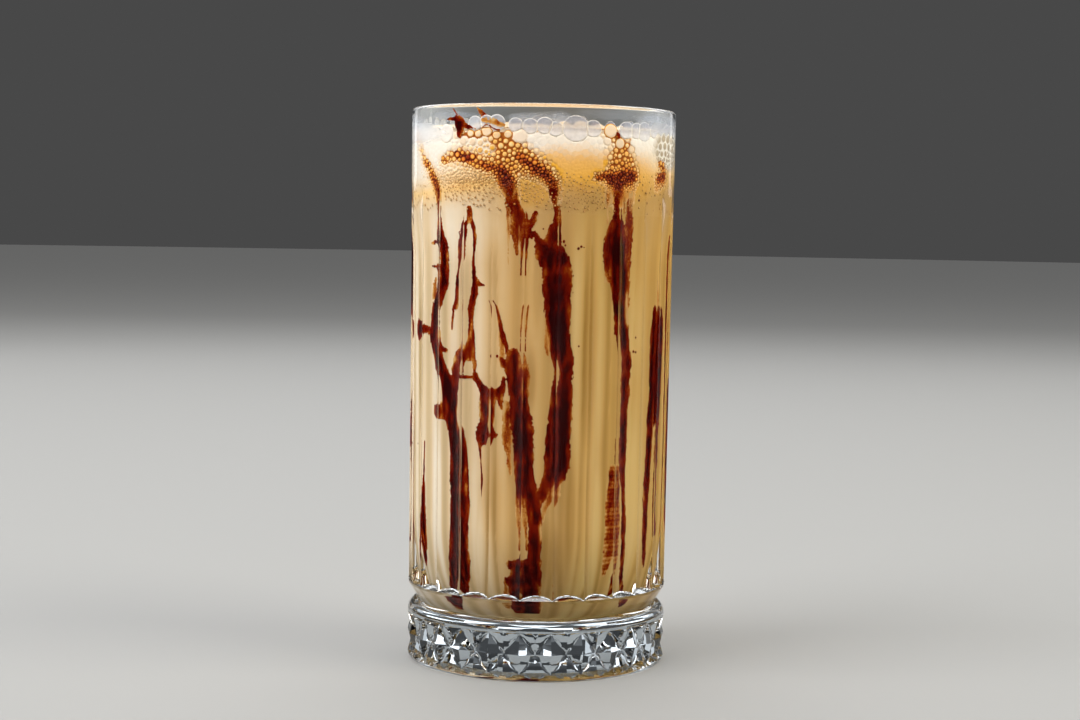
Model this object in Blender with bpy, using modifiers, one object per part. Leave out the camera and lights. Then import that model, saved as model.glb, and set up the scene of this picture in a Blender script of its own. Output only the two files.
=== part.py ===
"""Iced milk coffee with chocolate sauce, in a tall fluted glass with cut diamonds round its foot.

Lengths are in metres, +Z is up. The origin is the middle of the glass's underside, and the
front, -Y, is the side with the widest web of sauce. Angles run round the glass from the
front, positive towards +X.
"""

import math
import random

import bmesh
import bpy
from mathutils import Vector

MM = 0.001

# The glass, outside
HEIGHT = 152 * MM
RIM_RADIUS = 36.3 * MM
BODY_RADIUS = 35.7 * MM
BODY_BOTTOM = 21.4 * MM
WAIST_RADIUS = 33.0 * MM
WAIST_HEIGHT = 16.7 * MM
FOOT_RADIUS = 35.8 * MM
FOOT_EDGE = 1.5 * MM
STANDING_RADIUS = 33.9 * MM
RECESS_RADIUS = 29.5 * MM
RECESS_DEPTH = 1.4 * MM

# The glass, inside
RIM_WALL = 2.2 * MM
INNER_RIM_RADIUS = RIM_RADIUS - RIM_WALL
INNER_FLOOR_RADIUS = 31.8 * MM
FLOOR_HEIGHT = 18.0 * MM
CORNER_WIDTH = 13.0 * MM
CORNER_DROP = 24.0 * MM
CORNER_TOP = FLOOR_HEIGHT + CORNER_DROP
CORNER_STEPS = 5

# Flutes down the body and diamonds round the foot share one count
FLUTES = 26
STEPS_PER_FLUTE = 4
AROUND = FLUTES * STEPS_PER_FLUTE
FLUTE_DEPTH = 2.0 * MM
FLUTE_FOOT = 21.9 * MM
FLUTE_FOOT_FULL = 23.2 * MM
FLUTE_FADE_START = 109 * MM
FLUTE_FADE_END = 134 * MM
FADE_ROWS = 3
DIAMOND_DEPTH = 1.4 * MM
DIAMOND_BOTTOM = 1.9 * MM
DIAMOND_TOP = 13.0 * MM
DIAMOND_ROWS = 4
LEDGE = 0.35 * MM

# The drink
GAP = 0.3 * MM
COFFEE_TOP = 124 * MM
FOAM_LEVEL = 145.7 * MM
COFFEE_STEPS = 40
EDGE_BUBBLES = 36
EDGE_BUBBLE_RADII = (1.3 * MM, 2.5 * MM)
EDGE_BUBBLE_RISE = 0.35
INNER_BUBBLES = 26
INNER_BUBBLE_RADII = (1.2 * MM, 2.6 * MM)
INNER_BUBBLE_RISE = -0.6
INNER_BUBBLE_REACH = 25.5 * MM
BUBBLE_SEGMENTS = 7
BUBBLE_RINGS = 4
BUBBLE_SEED = 7

# The sauce lies against the wall in a groove of the coffee
SAUCE_THICKNESS = 0.9 * MM
SAUCE_FLAT_RADIUS = 33 * MM
SAUCE_BEND_STEP = math.radians(360 / COFFEE_STEPS)
SAUCE_CORNER_CUTS = [
    CORNER_TOP - CORNER_DROP * math.sin(math.pi / 2 * step / CORNER_STEPS) for step in range(CORNER_STEPS - 1)
]
CUTTER_OVERHANG = 0.8 * MM
FLAT_ANGLE = math.radians(1)

# Each streak of sauce is one or more runs, merged where they meet. A run goes from its top down
# through stations, each its angle in degrees, and its height and width in millimetres.
SAUCE_STREAKS = {
    "sauce_front_web": [
        [(-52.3, 119, 2.5), (-50.5, 111, 5), (-57.5, 96, 4.6), (-57, 88, 5), (-46.5, 75, 7), (-41, 59, 6),
         (-40.5, 42, 6.2), (-42.5, 28, 7.5)],
        [(-56, 92, 2), (-70, 92, 2.2), (-76, 91.5, 4.5)],
        [(-32, 117, 1.5), (-31.5, 104, 2.3), (-33, 91, 3), (-42, 81, 4), (-45, 76, 5)],
        [(-22, 99.5, 1.3), (-17.5, 91.5, 1.5), (-14, 85.5, 1.8)],
        [(-32, 87, 2.5), (-31, 80, 2.4), (-26, 75.5, 4.5), (-25.5, 66, 5.2), (-27.5, 61, 1.5)],
        [(-26, 76.3, 3.2), (-19, 76.3, 3.2), (-12, 80, 4.5)],
        [(-10, 87.5, 3), (-11.8, 82, 6), (-7.5, 64, 5.2), (-1.8, 44, 4.2), (-1.6, 35, 4.4), (-5, 27.5, 9)],
        [(-10, 122, 3), (-5.5, 118.5, 3), (3.5, 113.5, 7), (7, 107, 7.6), (7.7, 98, 7), (11, 81, 5),
         (9, 62, 6.4), (2.5, 50.5, 3.4), (-1, 45.5, 3)],
        [(6, 122, 2.2), (4.6, 114.5, 4.5)],
        [(-7, 119, 2.5), (-8, 108, 1)],
    ],
    "sauce_right": [
        [(34.8, 121.5, 4.5), (36, 111, 6.4), (39.5, 98, 4.9), (43, 86, 4.1), (42.8, 66, 3.5), (43.6, 50, 2.2),
         (46, 30, 2.3)],
    ],
    "sauce_far_right": [
        [(71, 98.5, 10), (71, 78, 9.4), (66.5, 62, 5.6), (63.8, 50, 3.4), (63.2, 40, 3.4), (67, 29, 2.4)],
        [(73, 78, 4), (74.6, 62, 3), (74.8, 48, 2.2), (76, 38, 1.8)],
    ],
    "sauce_far_left": [[(-69.8, 61, 1.5), (-70.8, 53, 1.8), (-71.4, 44, 3.8), (-72, 36, 5), (-76, 29.5, 4)]],
    "sauce_right_side": [
        [(84, 118, 1.5), (85.5, 102, 3), (87.5, 88, 3), (92, 70, 4), (93, 36, 2)],
    ],
    "sauce_left_side": [[(-94, 121, 3), (-92, 109, 5), (-99, 83, 3), (-97, 64, 5), (-96, 34, 2)]],
    "sauce_back_right": [
        [(126, 120, 4), (124, 108, 6), (129, 90, 4.5), (131, 76, 6), (129, 58, 4), (131, 27, 4)],
        [(124, 106, 3), (117, 94, 3.5), (115, 68, 2)],
    ],
    "sauce_back_web": [
        [(168, 121, 3), (171, 112, 6), (169, 92, 5), (178, 74, 6), (181, 58, 5), (183, 27, 6)],
        [(197, 118, 2), (194, 105, 4), (185, 83, 4.5), (180, 73, 5)],
        [(196, 112, 2.5), (204, 101, 3.5), (206, 82, 5), (208, 58, 2)],
    ],
    "sauce_back_left": [[(231, 114, 2), (234, 98, 5), (232, 80, 5), (234, 52, 5), (236, 29, 2)]],
}

GLASS_COLOUR = (0.86, 0.90, 0.91, 1.0)
COFFEE_COLOUR = (0.62, 0.42, 0.20, 1.0)
FOAM_COLOUR = (0.90, 0.78, 0.58, 1.0)
SAUCE_COLOUR = (0.09, 0.018, 0.006, 1.0)


def clear_scene():
    for obj in list(bpy.data.objects):
        bpy.data.objects.remove(obj)


def new_collection(name):
    collection = bpy.data.collections.new(name)
    bpy.context.scene.collection.children.link(collection)
    return collection


def material(name, colour, roughness, transmission=0.0):
    made = bpy.data.materials.new(name)
    made.use_nodes = True
    shader = made.node_tree.nodes["Principled BSDF"]
    shader.inputs["Base Color"].default_value = colour
    shader.inputs["Roughness"].default_value = roughness
    shader.inputs["Metallic"].default_value = 0.0
    shader.inputs["Transmission Weight"].default_value = transmission
    made.diffuse_color = colour
    return made


def arc(centre, radii, start, end, steps):
    """Points on an elliptical arc about centre, both ends included. Angles are in degrees, 0 outwards."""
    angles = [math.radians(start + (end - start) * i / steps) for i in range(steps + 1)]
    return [(centre[0] + radii[0] * math.cos(a), centre[1] + radii[1] * math.sin(a)) for a in angles]


def smooth_step(value, low, high):
    t = min(1.0, max(0.0, (value - low) / (high - low)))
    return t * t * (3 - 2 * t)


def inner_radius(height):
    """The radius of the glass's inside: a slight taper, and a long rounded corner down to the floor."""
    if height >= CORNER_TOP:
        share = (height - CORNER_TOP) / (HEIGHT - CORNER_TOP)
        return INNER_FLOOR_RADIUS + share * (INNER_RIM_RADIUS - INNER_FLOOR_RADIUS)
    drop = min((CORNER_TOP - height) / CORNER_DROP, 1.0)
    return INNER_FLOOR_RADIUS - CORNER_WIDTH * (1 - math.sqrt(1 - drop**2))


def outer_radius(height):
    """The radius of the body over the ridges between the flutes."""
    share = (height - BODY_BOTTOM) / (HEIGHT - BODY_BOTTOM)
    return BODY_RADIUS + share * (RIM_RADIUS - BODY_RADIUS)


def glass_outline():
    """From the middle of the floor up the inside, over the rim, down the outside and under the foot."""
    corner_centre = (INNER_FLOOR_RADIUS - CORNER_WIDTH, CORNER_TOP)
    rim_centre = (RIM_RADIUS - RIM_WALL / 2, HEIGHT - RIM_WALL / 2)
    shoulder = (3.2 * MM, WAIST_HEIGHT - DIAMOND_TOP - LEDGE)
    shoulder_centre = (FOOT_RADIUS - shoulder[0], DIAMOND_TOP + LEDGE)
    fade = [FLUTE_FADE_END + (FLUTE_FADE_START - FLUTE_FADE_END) * i / FADE_ROWS for i in range(FADE_ROWS + 1)]
    band = [DIAMOND_TOP + (DIAMOND_BOTTOM - DIAMOND_TOP) * i / DIAMOND_ROWS for i in range(DIAMOND_ROWS + 1)]
    points = [(0.0, FLOOR_HEIGHT)]
    points += arc(corner_centre, (CORNER_WIDTH, CORNER_DROP), -90, 0, CORNER_STEPS)
    points += arc(rim_centre, (RIM_WALL / 2, RIM_WALL / 2), 180, 0, 4)
    points += [(outer_radius(height), height) for height in fade]
    points += [(outer_radius(height), height) for height in (FLUTE_FOOT_FULL, FLUTE_FOOT)]
    points += [(BODY_RADIUS, BODY_BOTTOM), (WAIST_RADIUS, WAIST_HEIGHT + LEDGE)]
    points += arc(shoulder_centre, shoulder, 80, 0, 3)
    points += [(FOOT_RADIUS, height) for height in band]
    points += [(FOOT_RADIUS - LEDGE, FOOT_EDGE), (STANDING_RADIUS, 0.0)]
    points += [(RECESS_RADIUS + RECESS_DEPTH, 0.0), (RECESS_RADIUS, RECESS_DEPTH), (0.0, RECESS_DEPTH)]
    return points


def coffee_outline():
    corner_centre = (INNER_FLOOR_RADIUS - CORNER_WIDTH, CORNER_TOP)
    corner = (CORNER_WIDTH - GAP, CORNER_DROP - GAP)
    top = (inner_radius(COFFEE_TOP) - GAP, COFFEE_TOP)
    return [(0.0, COFFEE_TOP), top] + arc(corner_centre, corner, 0, -90, CORNER_STEPS) + [(0.0, FLOOR_HEIGHT + GAP)]


def foam_outline():
    bottom = COFFEE_TOP + GAP
    return [
        (0.0, FOAM_LEVEL),
        (inner_radius(FOAM_LEVEL) - GAP, FOAM_LEVEL),
        (inner_radius(bottom) - GAP, bottom),
        (0.0, bottom),
    ]


def applied(obj):
    """Puts the evaluated shape in the object's own mesh, with no modifier left."""
    mesh = bpy.data.meshes.new_from_object(obj.evaluated_get(bpy.context.evaluated_depsgraph_get()))
    obj.modifiers.clear()
    obj.data = mesh
    return obj


def turned(name, outline, steps, collection):
    mesh = bpy.data.meshes.new(name)
    mesh.from_pydata([(r, 0, z) for r, z in outline], [(i, i + 1) for i in range(len(outline) - 1)], [])
    obj = bpy.data.objects.new(name, mesh)
    collection.objects.link(obj)
    screw = obj.modifiers.new("turn", "SCREW")
    screw.steps = screw.render_steps = steps
    screw.use_merge_vertices = True
    screw.merge_threshold = 0.00001
    return applied(obj)


def around_of(point):
    """The angle round the glass from the front, in radians."""
    return math.atan2(point.x, -point.y)


def flute_share(around):
    """0 on the ridge between two flutes and 1 along a flute's middle."""
    across = (around * FLUTES / math.tau + 0.5) % 1.0 - 0.5
    return 1 - (2 * across) ** 2


def flute_depth(around, height):
    rise = smooth_step(height, FLUTE_FOOT, FLUTE_FOOT_FULL)
    fade = 1 - smooth_step(height, FLUTE_FADE_START, FLUTE_FADE_END)
    return FLUTE_DEPTH * rise * fade * flute_share(around)


def diamond_depth(around, height):
    """Grooves that cross at the band's middle, with flat facets rising from them to a point between."""
    across = (around * FLUTES / math.tau) % 1.0
    side = 1 - abs(1 - 2 * across)
    up = abs(2 * (height - DIAMOND_BOTTOM) / (DIAMOND_TOP - DIAMOND_BOTTOM) - 1)
    return DIAMOND_DEPTH * (1 - abs(side - up))


def relief_depth(point):
    tolerance = 0.01 * MM
    if FLUTE_FOOT <= point.z <= FLUTE_FADE_END:
        return flute_depth(around_of(point), point.z)
    if DIAMOND_BOTTOM - tolerance <= point.z <= DIAMOND_TOP + tolerance:
        return diamond_depth(around_of(point), point.z)
    return 0.0


def cut_relief(obj):
    """Moves the outer face in by the flutes and the diamonds, and folds each diamond facet along its groove."""
    bm = bmesh.new()
    bm.from_mesh(obj.data)
    bmesh.ops.recalc_face_normals(bm, faces=bm.faces)
    depths = {}
    for vert in bm.verts:
        radius = math.hypot(vert.co.x, vert.co.y)
        if radius > inner_radius(vert.co.z) + RIM_WALL / 2 and radius > WAIST_RADIUS:
            depths[vert] = relief_depth(vert.co)
    for face in list(bm.faces):
        in_band = DIAMOND_BOTTOM < face.calc_center_median().z < DIAMOND_TOP
        if in_band and len(face.verts) == 4 and all(v in depths for v in face.verts):
            first, second, third, fourth = face.verts
            if depths[first] + depths[third] > depths[second] + depths[fourth]:
                bmesh.utils.face_split(face, first, third)
            else:
                bmesh.utils.face_split(face, second, fourth)
    for vert, depth in depths.items():
        radius = math.hypot(vert.co.x, vert.co.y)
        vert.co.x *= (radius - depth) / radius
        vert.co.y *= (radius - depth) / radius
    bm.to_mesh(obj.data)
    bm.free()


def flat_run(name, stations, grow, bottom, top, collection):
    """One run of sauce laid out flat: x along the wall, y its height, z outwards from bottom to top."""
    places = [Vector((math.radians(angle) * SAUCE_FLAT_RADIUS, height * MM)) for angle, height, width in stations]
    halves = [width * MM / 2 + grow for angle, height, width in stations]
    left, right = [], []
    for index, (place, half) in enumerate(zip(places, halves)):
        along = places[min(index + 1, len(places) - 1)] - places[max(index - 1, 0)]
        across = Vector((along.y, -along.x)).normalized() * half
        left.append(place - across)
        right.append(place + across)
    upper_tip = places[0] + (places[0] - places[1]).normalized() * halves[0]
    lower_tip = places[-1] + (places[-1] - places[-2]).normalized() * halves[-1]
    outline = [upper_tip] + left + [lower_tip] + right[::-1]
    curve = bpy.data.curves.new(name, "CURVE")
    curve.dimensions = "2D"
    curve.fill_mode = "BOTH"
    curve.extrude = (top - bottom) / 2
    spline = curve.splines.new("POLY")
    spline.points.add(len(outline) - 1)
    for point, (x, y) in zip(spline.points, outline):
        point.co = (x, y, 0, 1)
    spline.use_cyclic_u = True
    guide = bpy.data.objects.new(name, curve)
    collection.objects.link(guide)
    mesh = bpy.data.meshes.new_from_object(guide.evaluated_get(bpy.context.evaluated_depsgraph_get()))
    bpy.data.objects.remove(guide)
    bm = bmesh.new()
    bm.from_mesh(mesh)
    bmesh.ops.remove_doubles(bm, verts=bm.verts, dist=0.00001)
    bmesh.ops.recalc_face_normals(bm, faces=bm.faces)
    bmesh.ops.translate(bm, verts=bm.verts, vec=(0, 0, (top + bottom) / 2))
    bm.to_mesh(mesh)
    bm.free()
    obj = bpy.data.objects.new(name, mesh)
    collection.objects.link(obj)
    return obj


def combined(obj, operation, others):
    """obj with the objects of that collection joined on or cut out of it. They and the collection are removed."""
    boolean = obj.modifiers.new(operation.lower(), "BOOLEAN")
    boolean.operation = operation
    boolean.solver = "EXACT"
    boolean.operand_type = "COLLECTION"
    boolean.collection = others
    applied(obj)
    for other in list(others.objects):
        bpy.data.objects.remove(other)
    bpy.data.collections.remove(others)
    return obj


def bent_to_wall(obj):
    """Cuts a flat run into strips and bends them round the inside of the glass."""
    bm = bmesh.new()
    bm.from_mesh(obj.data)
    bmesh.ops.dissolve_limit(bm, angle_limit=FLAT_ANGLE, verts=bm.verts, edges=bm.edges)
    step = SAUCE_BEND_STEP * SAUCE_FLAT_RADIUS
    low = math.floor(min(v.co.x for v in bm.verts) / step)
    high = math.ceil(max(v.co.x for v in bm.verts) / step)
    cuts = [((i * step, 0, 0), (1, 0, 0)) for i in range(low, high + 1)]
    cuts += [((0, height, 0), (0, 1, 0)) for height in SAUCE_CORNER_CUTS]
    for place, normal in cuts:
        everything = bm.verts[:] + bm.edges[:] + bm.faces[:]
        bmesh.ops.bisect_plane(bm, geom=everything, plane_co=place, plane_no=normal, dist=0.000001)
    bmesh.ops.triangulate(bm, faces=bm.faces)
    for vert in bm.verts:
        around, height, outwards = vert.co.x / SAUCE_FLAT_RADIUS, vert.co.y, vert.co.z
        radius = inner_radius(height) - GAP + outwards
        vert.co = (radius * math.sin(around), -radius * math.cos(around), height)
    bm.to_mesh(obj.data)
    bm.free()
    return obj


def sauce_streak(name, runs, grow, bottom, top, collection):
    first = flat_run(name, runs[0], grow, bottom, top, collection)
    if len(runs) > 1:
        others = new_collection(name + "_runs")
        for index, stations in enumerate(runs[1:]):
            flat_run(f"{name}_run_{index}", stations, grow, bottom, top, others)
        combined(first, "UNION", others)
    return bent_to_wall(first)


def bubble_places():
    """A ring of bubbles along the wall, and lower ones spread over the middle, none on top of another."""
    draw = random.Random(BUBBLE_SEED)
    placed = []
    for index in range(EDGE_BUBBLES):
        radius = draw.uniform(*EDGE_BUBBLE_RADII)
        around = math.tau * (index + draw.uniform(-0.2, 0.2)) / EDGE_BUBBLES
        out = inner_radius(FOAM_LEVEL) - 2 * GAP - radius
        place = (out * math.sin(around), -out * math.cos(around), FOAM_LEVEL + EDGE_BUBBLE_RISE * radius)
        placed.append((place, radius))
    tries = 0
    while len(placed) < EDGE_BUBBLES + INNER_BUBBLES and tries < 4000:
        tries += 1
        radius = draw.uniform(*INNER_BUBBLE_RADII)
        out = INNER_BUBBLE_REACH * math.sqrt(draw.random())
        around = draw.uniform(0, math.tau)
        place = (out * math.sin(around), -out * math.cos(around), FOAM_LEVEL + INNER_BUBBLE_RISE * radius)
        if all(math.dist(place, other) > 0.9 * (radius + size) for other, size in placed[EDGE_BUBBLES:]):
            placed.append((place, radius))
    return placed


def make_foam(part):
    foam = turned("foam", foam_outline(), COFFEE_STEPS, part)
    bubbles = new_collection("foam_bubbles")
    for index, (place, radius) in enumerate(bubble_places()):
        mesh = bpy.data.meshes.new(f"bubble_{index}")
        bm = bmesh.new()
        bmesh.ops.create_uvsphere(bm, u_segments=BUBBLE_SEGMENTS, v_segments=BUBBLE_RINGS, radius=radius)
        bmesh.ops.translate(bm, verts=bm.verts, vec=place)
        bm.to_mesh(mesh)
        bm.free()
        bubbles.objects.link(bpy.data.objects.new(mesh.name, mesh))
    return combined(foam, "UNION", bubbles)


def make_coffee(part):
    """The drink up to the foam, with a groove for each streak of sauce."""
    coffee = turned("coffee", coffee_outline(), COFFEE_STEPS, part)
    cutters = new_collection("sauce_grooves")
    for name, runs in SAUCE_STREAKS.items():
        sauce_streak(name + "_groove", runs, GAP, -SAUCE_THICKNESS - GAP, CUTTER_OVERHANG, cutters)
    return combined(coffee, "DIFFERENCE", cutters)


def finish_surface(obj, made, smooth_angle):
    obj.data.materials.clear()
    obj.data.materials.append(made)
    obj.data.shade_smooth()
    obj.data.set_sharp_from_angle(angle=math.radians(smooth_angle))


def main():
    clear_scene()
    part = new_collection("iced_coffee")
    clear_glass = material("clear_glass", GLASS_COLOUR, 0.02, transmission=1.0)
    milk_coffee = material("milk_coffee", COFFEE_COLOUR, 0.35)
    milk_foam = material("milk_foam", FOAM_COLOUR, 0.5)
    chocolate = material("chocolate_sauce", SAUCE_COLOUR, 0.25)

    glass = turned("glass", glass_outline(), AROUND, part)
    cut_relief(glass)
    finish_surface(glass, clear_glass, 30)
    finish_surface(make_coffee(part), milk_coffee, 30)
    finish_surface(make_foam(part), milk_foam, 40)
    for name, runs in SAUCE_STREAKS.items():
        streak = sauce_streak(name, runs, 0.0, -SAUCE_THICKNESS, 0.0, part)
        finish_surface(streak, chocolate, 40)


main()
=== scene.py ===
"""The looks of an iced milk coffee with chocolate sauce, in a tall glass with flutes and a cut foot.

It is laid out as a Blender add-on and run as a script. Lengths are in metres, +Z is up and the
front is -Y. Angles run round the glass from the front, positive towards +X.
"""

import math

import bmesh
import bpy
import numpy as np
from bpy.props import FloatProperty, FloatVectorProperty, IntProperty, PointerProperty
from mathutils import Matrix, Vector, noise


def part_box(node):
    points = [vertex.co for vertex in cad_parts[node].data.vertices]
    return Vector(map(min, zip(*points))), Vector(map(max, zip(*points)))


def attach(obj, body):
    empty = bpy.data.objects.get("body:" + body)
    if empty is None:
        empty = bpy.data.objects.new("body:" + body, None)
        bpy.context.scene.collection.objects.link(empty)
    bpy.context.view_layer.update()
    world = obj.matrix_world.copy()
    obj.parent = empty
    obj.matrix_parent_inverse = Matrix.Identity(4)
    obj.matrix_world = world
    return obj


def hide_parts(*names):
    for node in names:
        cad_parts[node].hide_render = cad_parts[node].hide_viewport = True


bl_info = {
    "name": "Iced Coffee in a Fluted Glass",
    "version": (1, 0, 0),
    "blender": (4, 5, 0),
    "location": "3D View > Sidebar > Iced Coffee",
    "description": "Builds an iced milk coffee with chocolate sauce and foam, in its glass",
    "category": "Object",
}

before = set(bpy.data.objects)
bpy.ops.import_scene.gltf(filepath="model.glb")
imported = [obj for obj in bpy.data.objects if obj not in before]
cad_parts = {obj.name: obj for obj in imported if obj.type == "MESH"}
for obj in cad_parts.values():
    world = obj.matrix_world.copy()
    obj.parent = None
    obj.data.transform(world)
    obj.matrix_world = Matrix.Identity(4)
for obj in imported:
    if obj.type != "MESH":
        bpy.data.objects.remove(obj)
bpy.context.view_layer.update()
GLASS_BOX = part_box("glass")
COFFEE_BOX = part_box("coffee")

MM = 0.001
BODY = "root"

# The glass, outside, from the top down
HEIGHT = GLASS_BOX[1][2]
RIM_RADIUS = GLASS_BOX[1][0]
RIM_WALL = 2.2 * MM
BODY_RADIUS = 35.7 * MM
FLUTE_FADE_TOP = 134 * MM
FLUTE_FADE_START = 109 * MM
FLUTE_FOOT = 21.9 * MM
SHELF_SLOPE = 0.6
RIDGE_SOFTNESS = 0.07 * MM
BODY_BOTTOM = 21.4 * MM
WAIST_RADIUS = 33.0 * MM
WAIST_HEIGHT = 16.9 * MM
FOOT_RADIUS = 35.8 * MM
DIAMOND_TOP = 13.0 * MM
DIAMOND_BOTTOM = 1.9 * MM
STANDING_RADIUS = 33.9 * MM
RECESS_RADIUS = 29.5 * MM
RECESS_DEPTH = 1.4 * MM

# The glass, inside
INNER_RIM_RADIUS = RIM_RADIUS - RIM_WALL
INNER_FLOOR_RADIUS = 31.8 * MM
FLOOR_HEIGHT = 18.0 * MM
CORNER_TOP = 42.0 * MM
CORNER_WIDTH = 13.0 * MM
CORNER_DROP = CORNER_TOP - FLOOR_HEIGHT

# The drink
COFFEE_TOP = COFFEE_BOX[1][2]
FOAM_LEVEL = 145.7 * MM
FOAM_EDGE = 144.4 * MM

# How far into the wall of the glass the drink reaches, then the sauce, then what is in front of the foam
WETTING = 0.05 * MM
SAUCE_WETTING = 0.14 * MM
IN_FRONT = 0.42 * MM

# The radius by which an angle becomes a length where the wall is laid out flat
FLAT_RADIUS = 33 * MM

# Rows of points that a turned piece has to each flute
ROWS_PER_FLUTE = 16

# The sauce
SAUCE_STEP = 0.3 * MM
SAUCE_BOTTOM = 19.2 * MM
SAUCE_THICKNESS = 0.6 * MM
SAUCE_FILM_THICKNESS = 0.1 * MM
RIPPLE_LENGTHS = (1.2 * MM, 4.1 * MM)

# How a run's edge wanders: the share of each noise, its lumps across and up the glass, and its seed
EDGE_NOISES = [(1.0, 2.2 * MM, 7 * MM, 1), (0.7, 0.8 * MM, 2.2 * MM, 2), (0.8, 0.45 * MM, 0.55 * MM, 3)]

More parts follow.
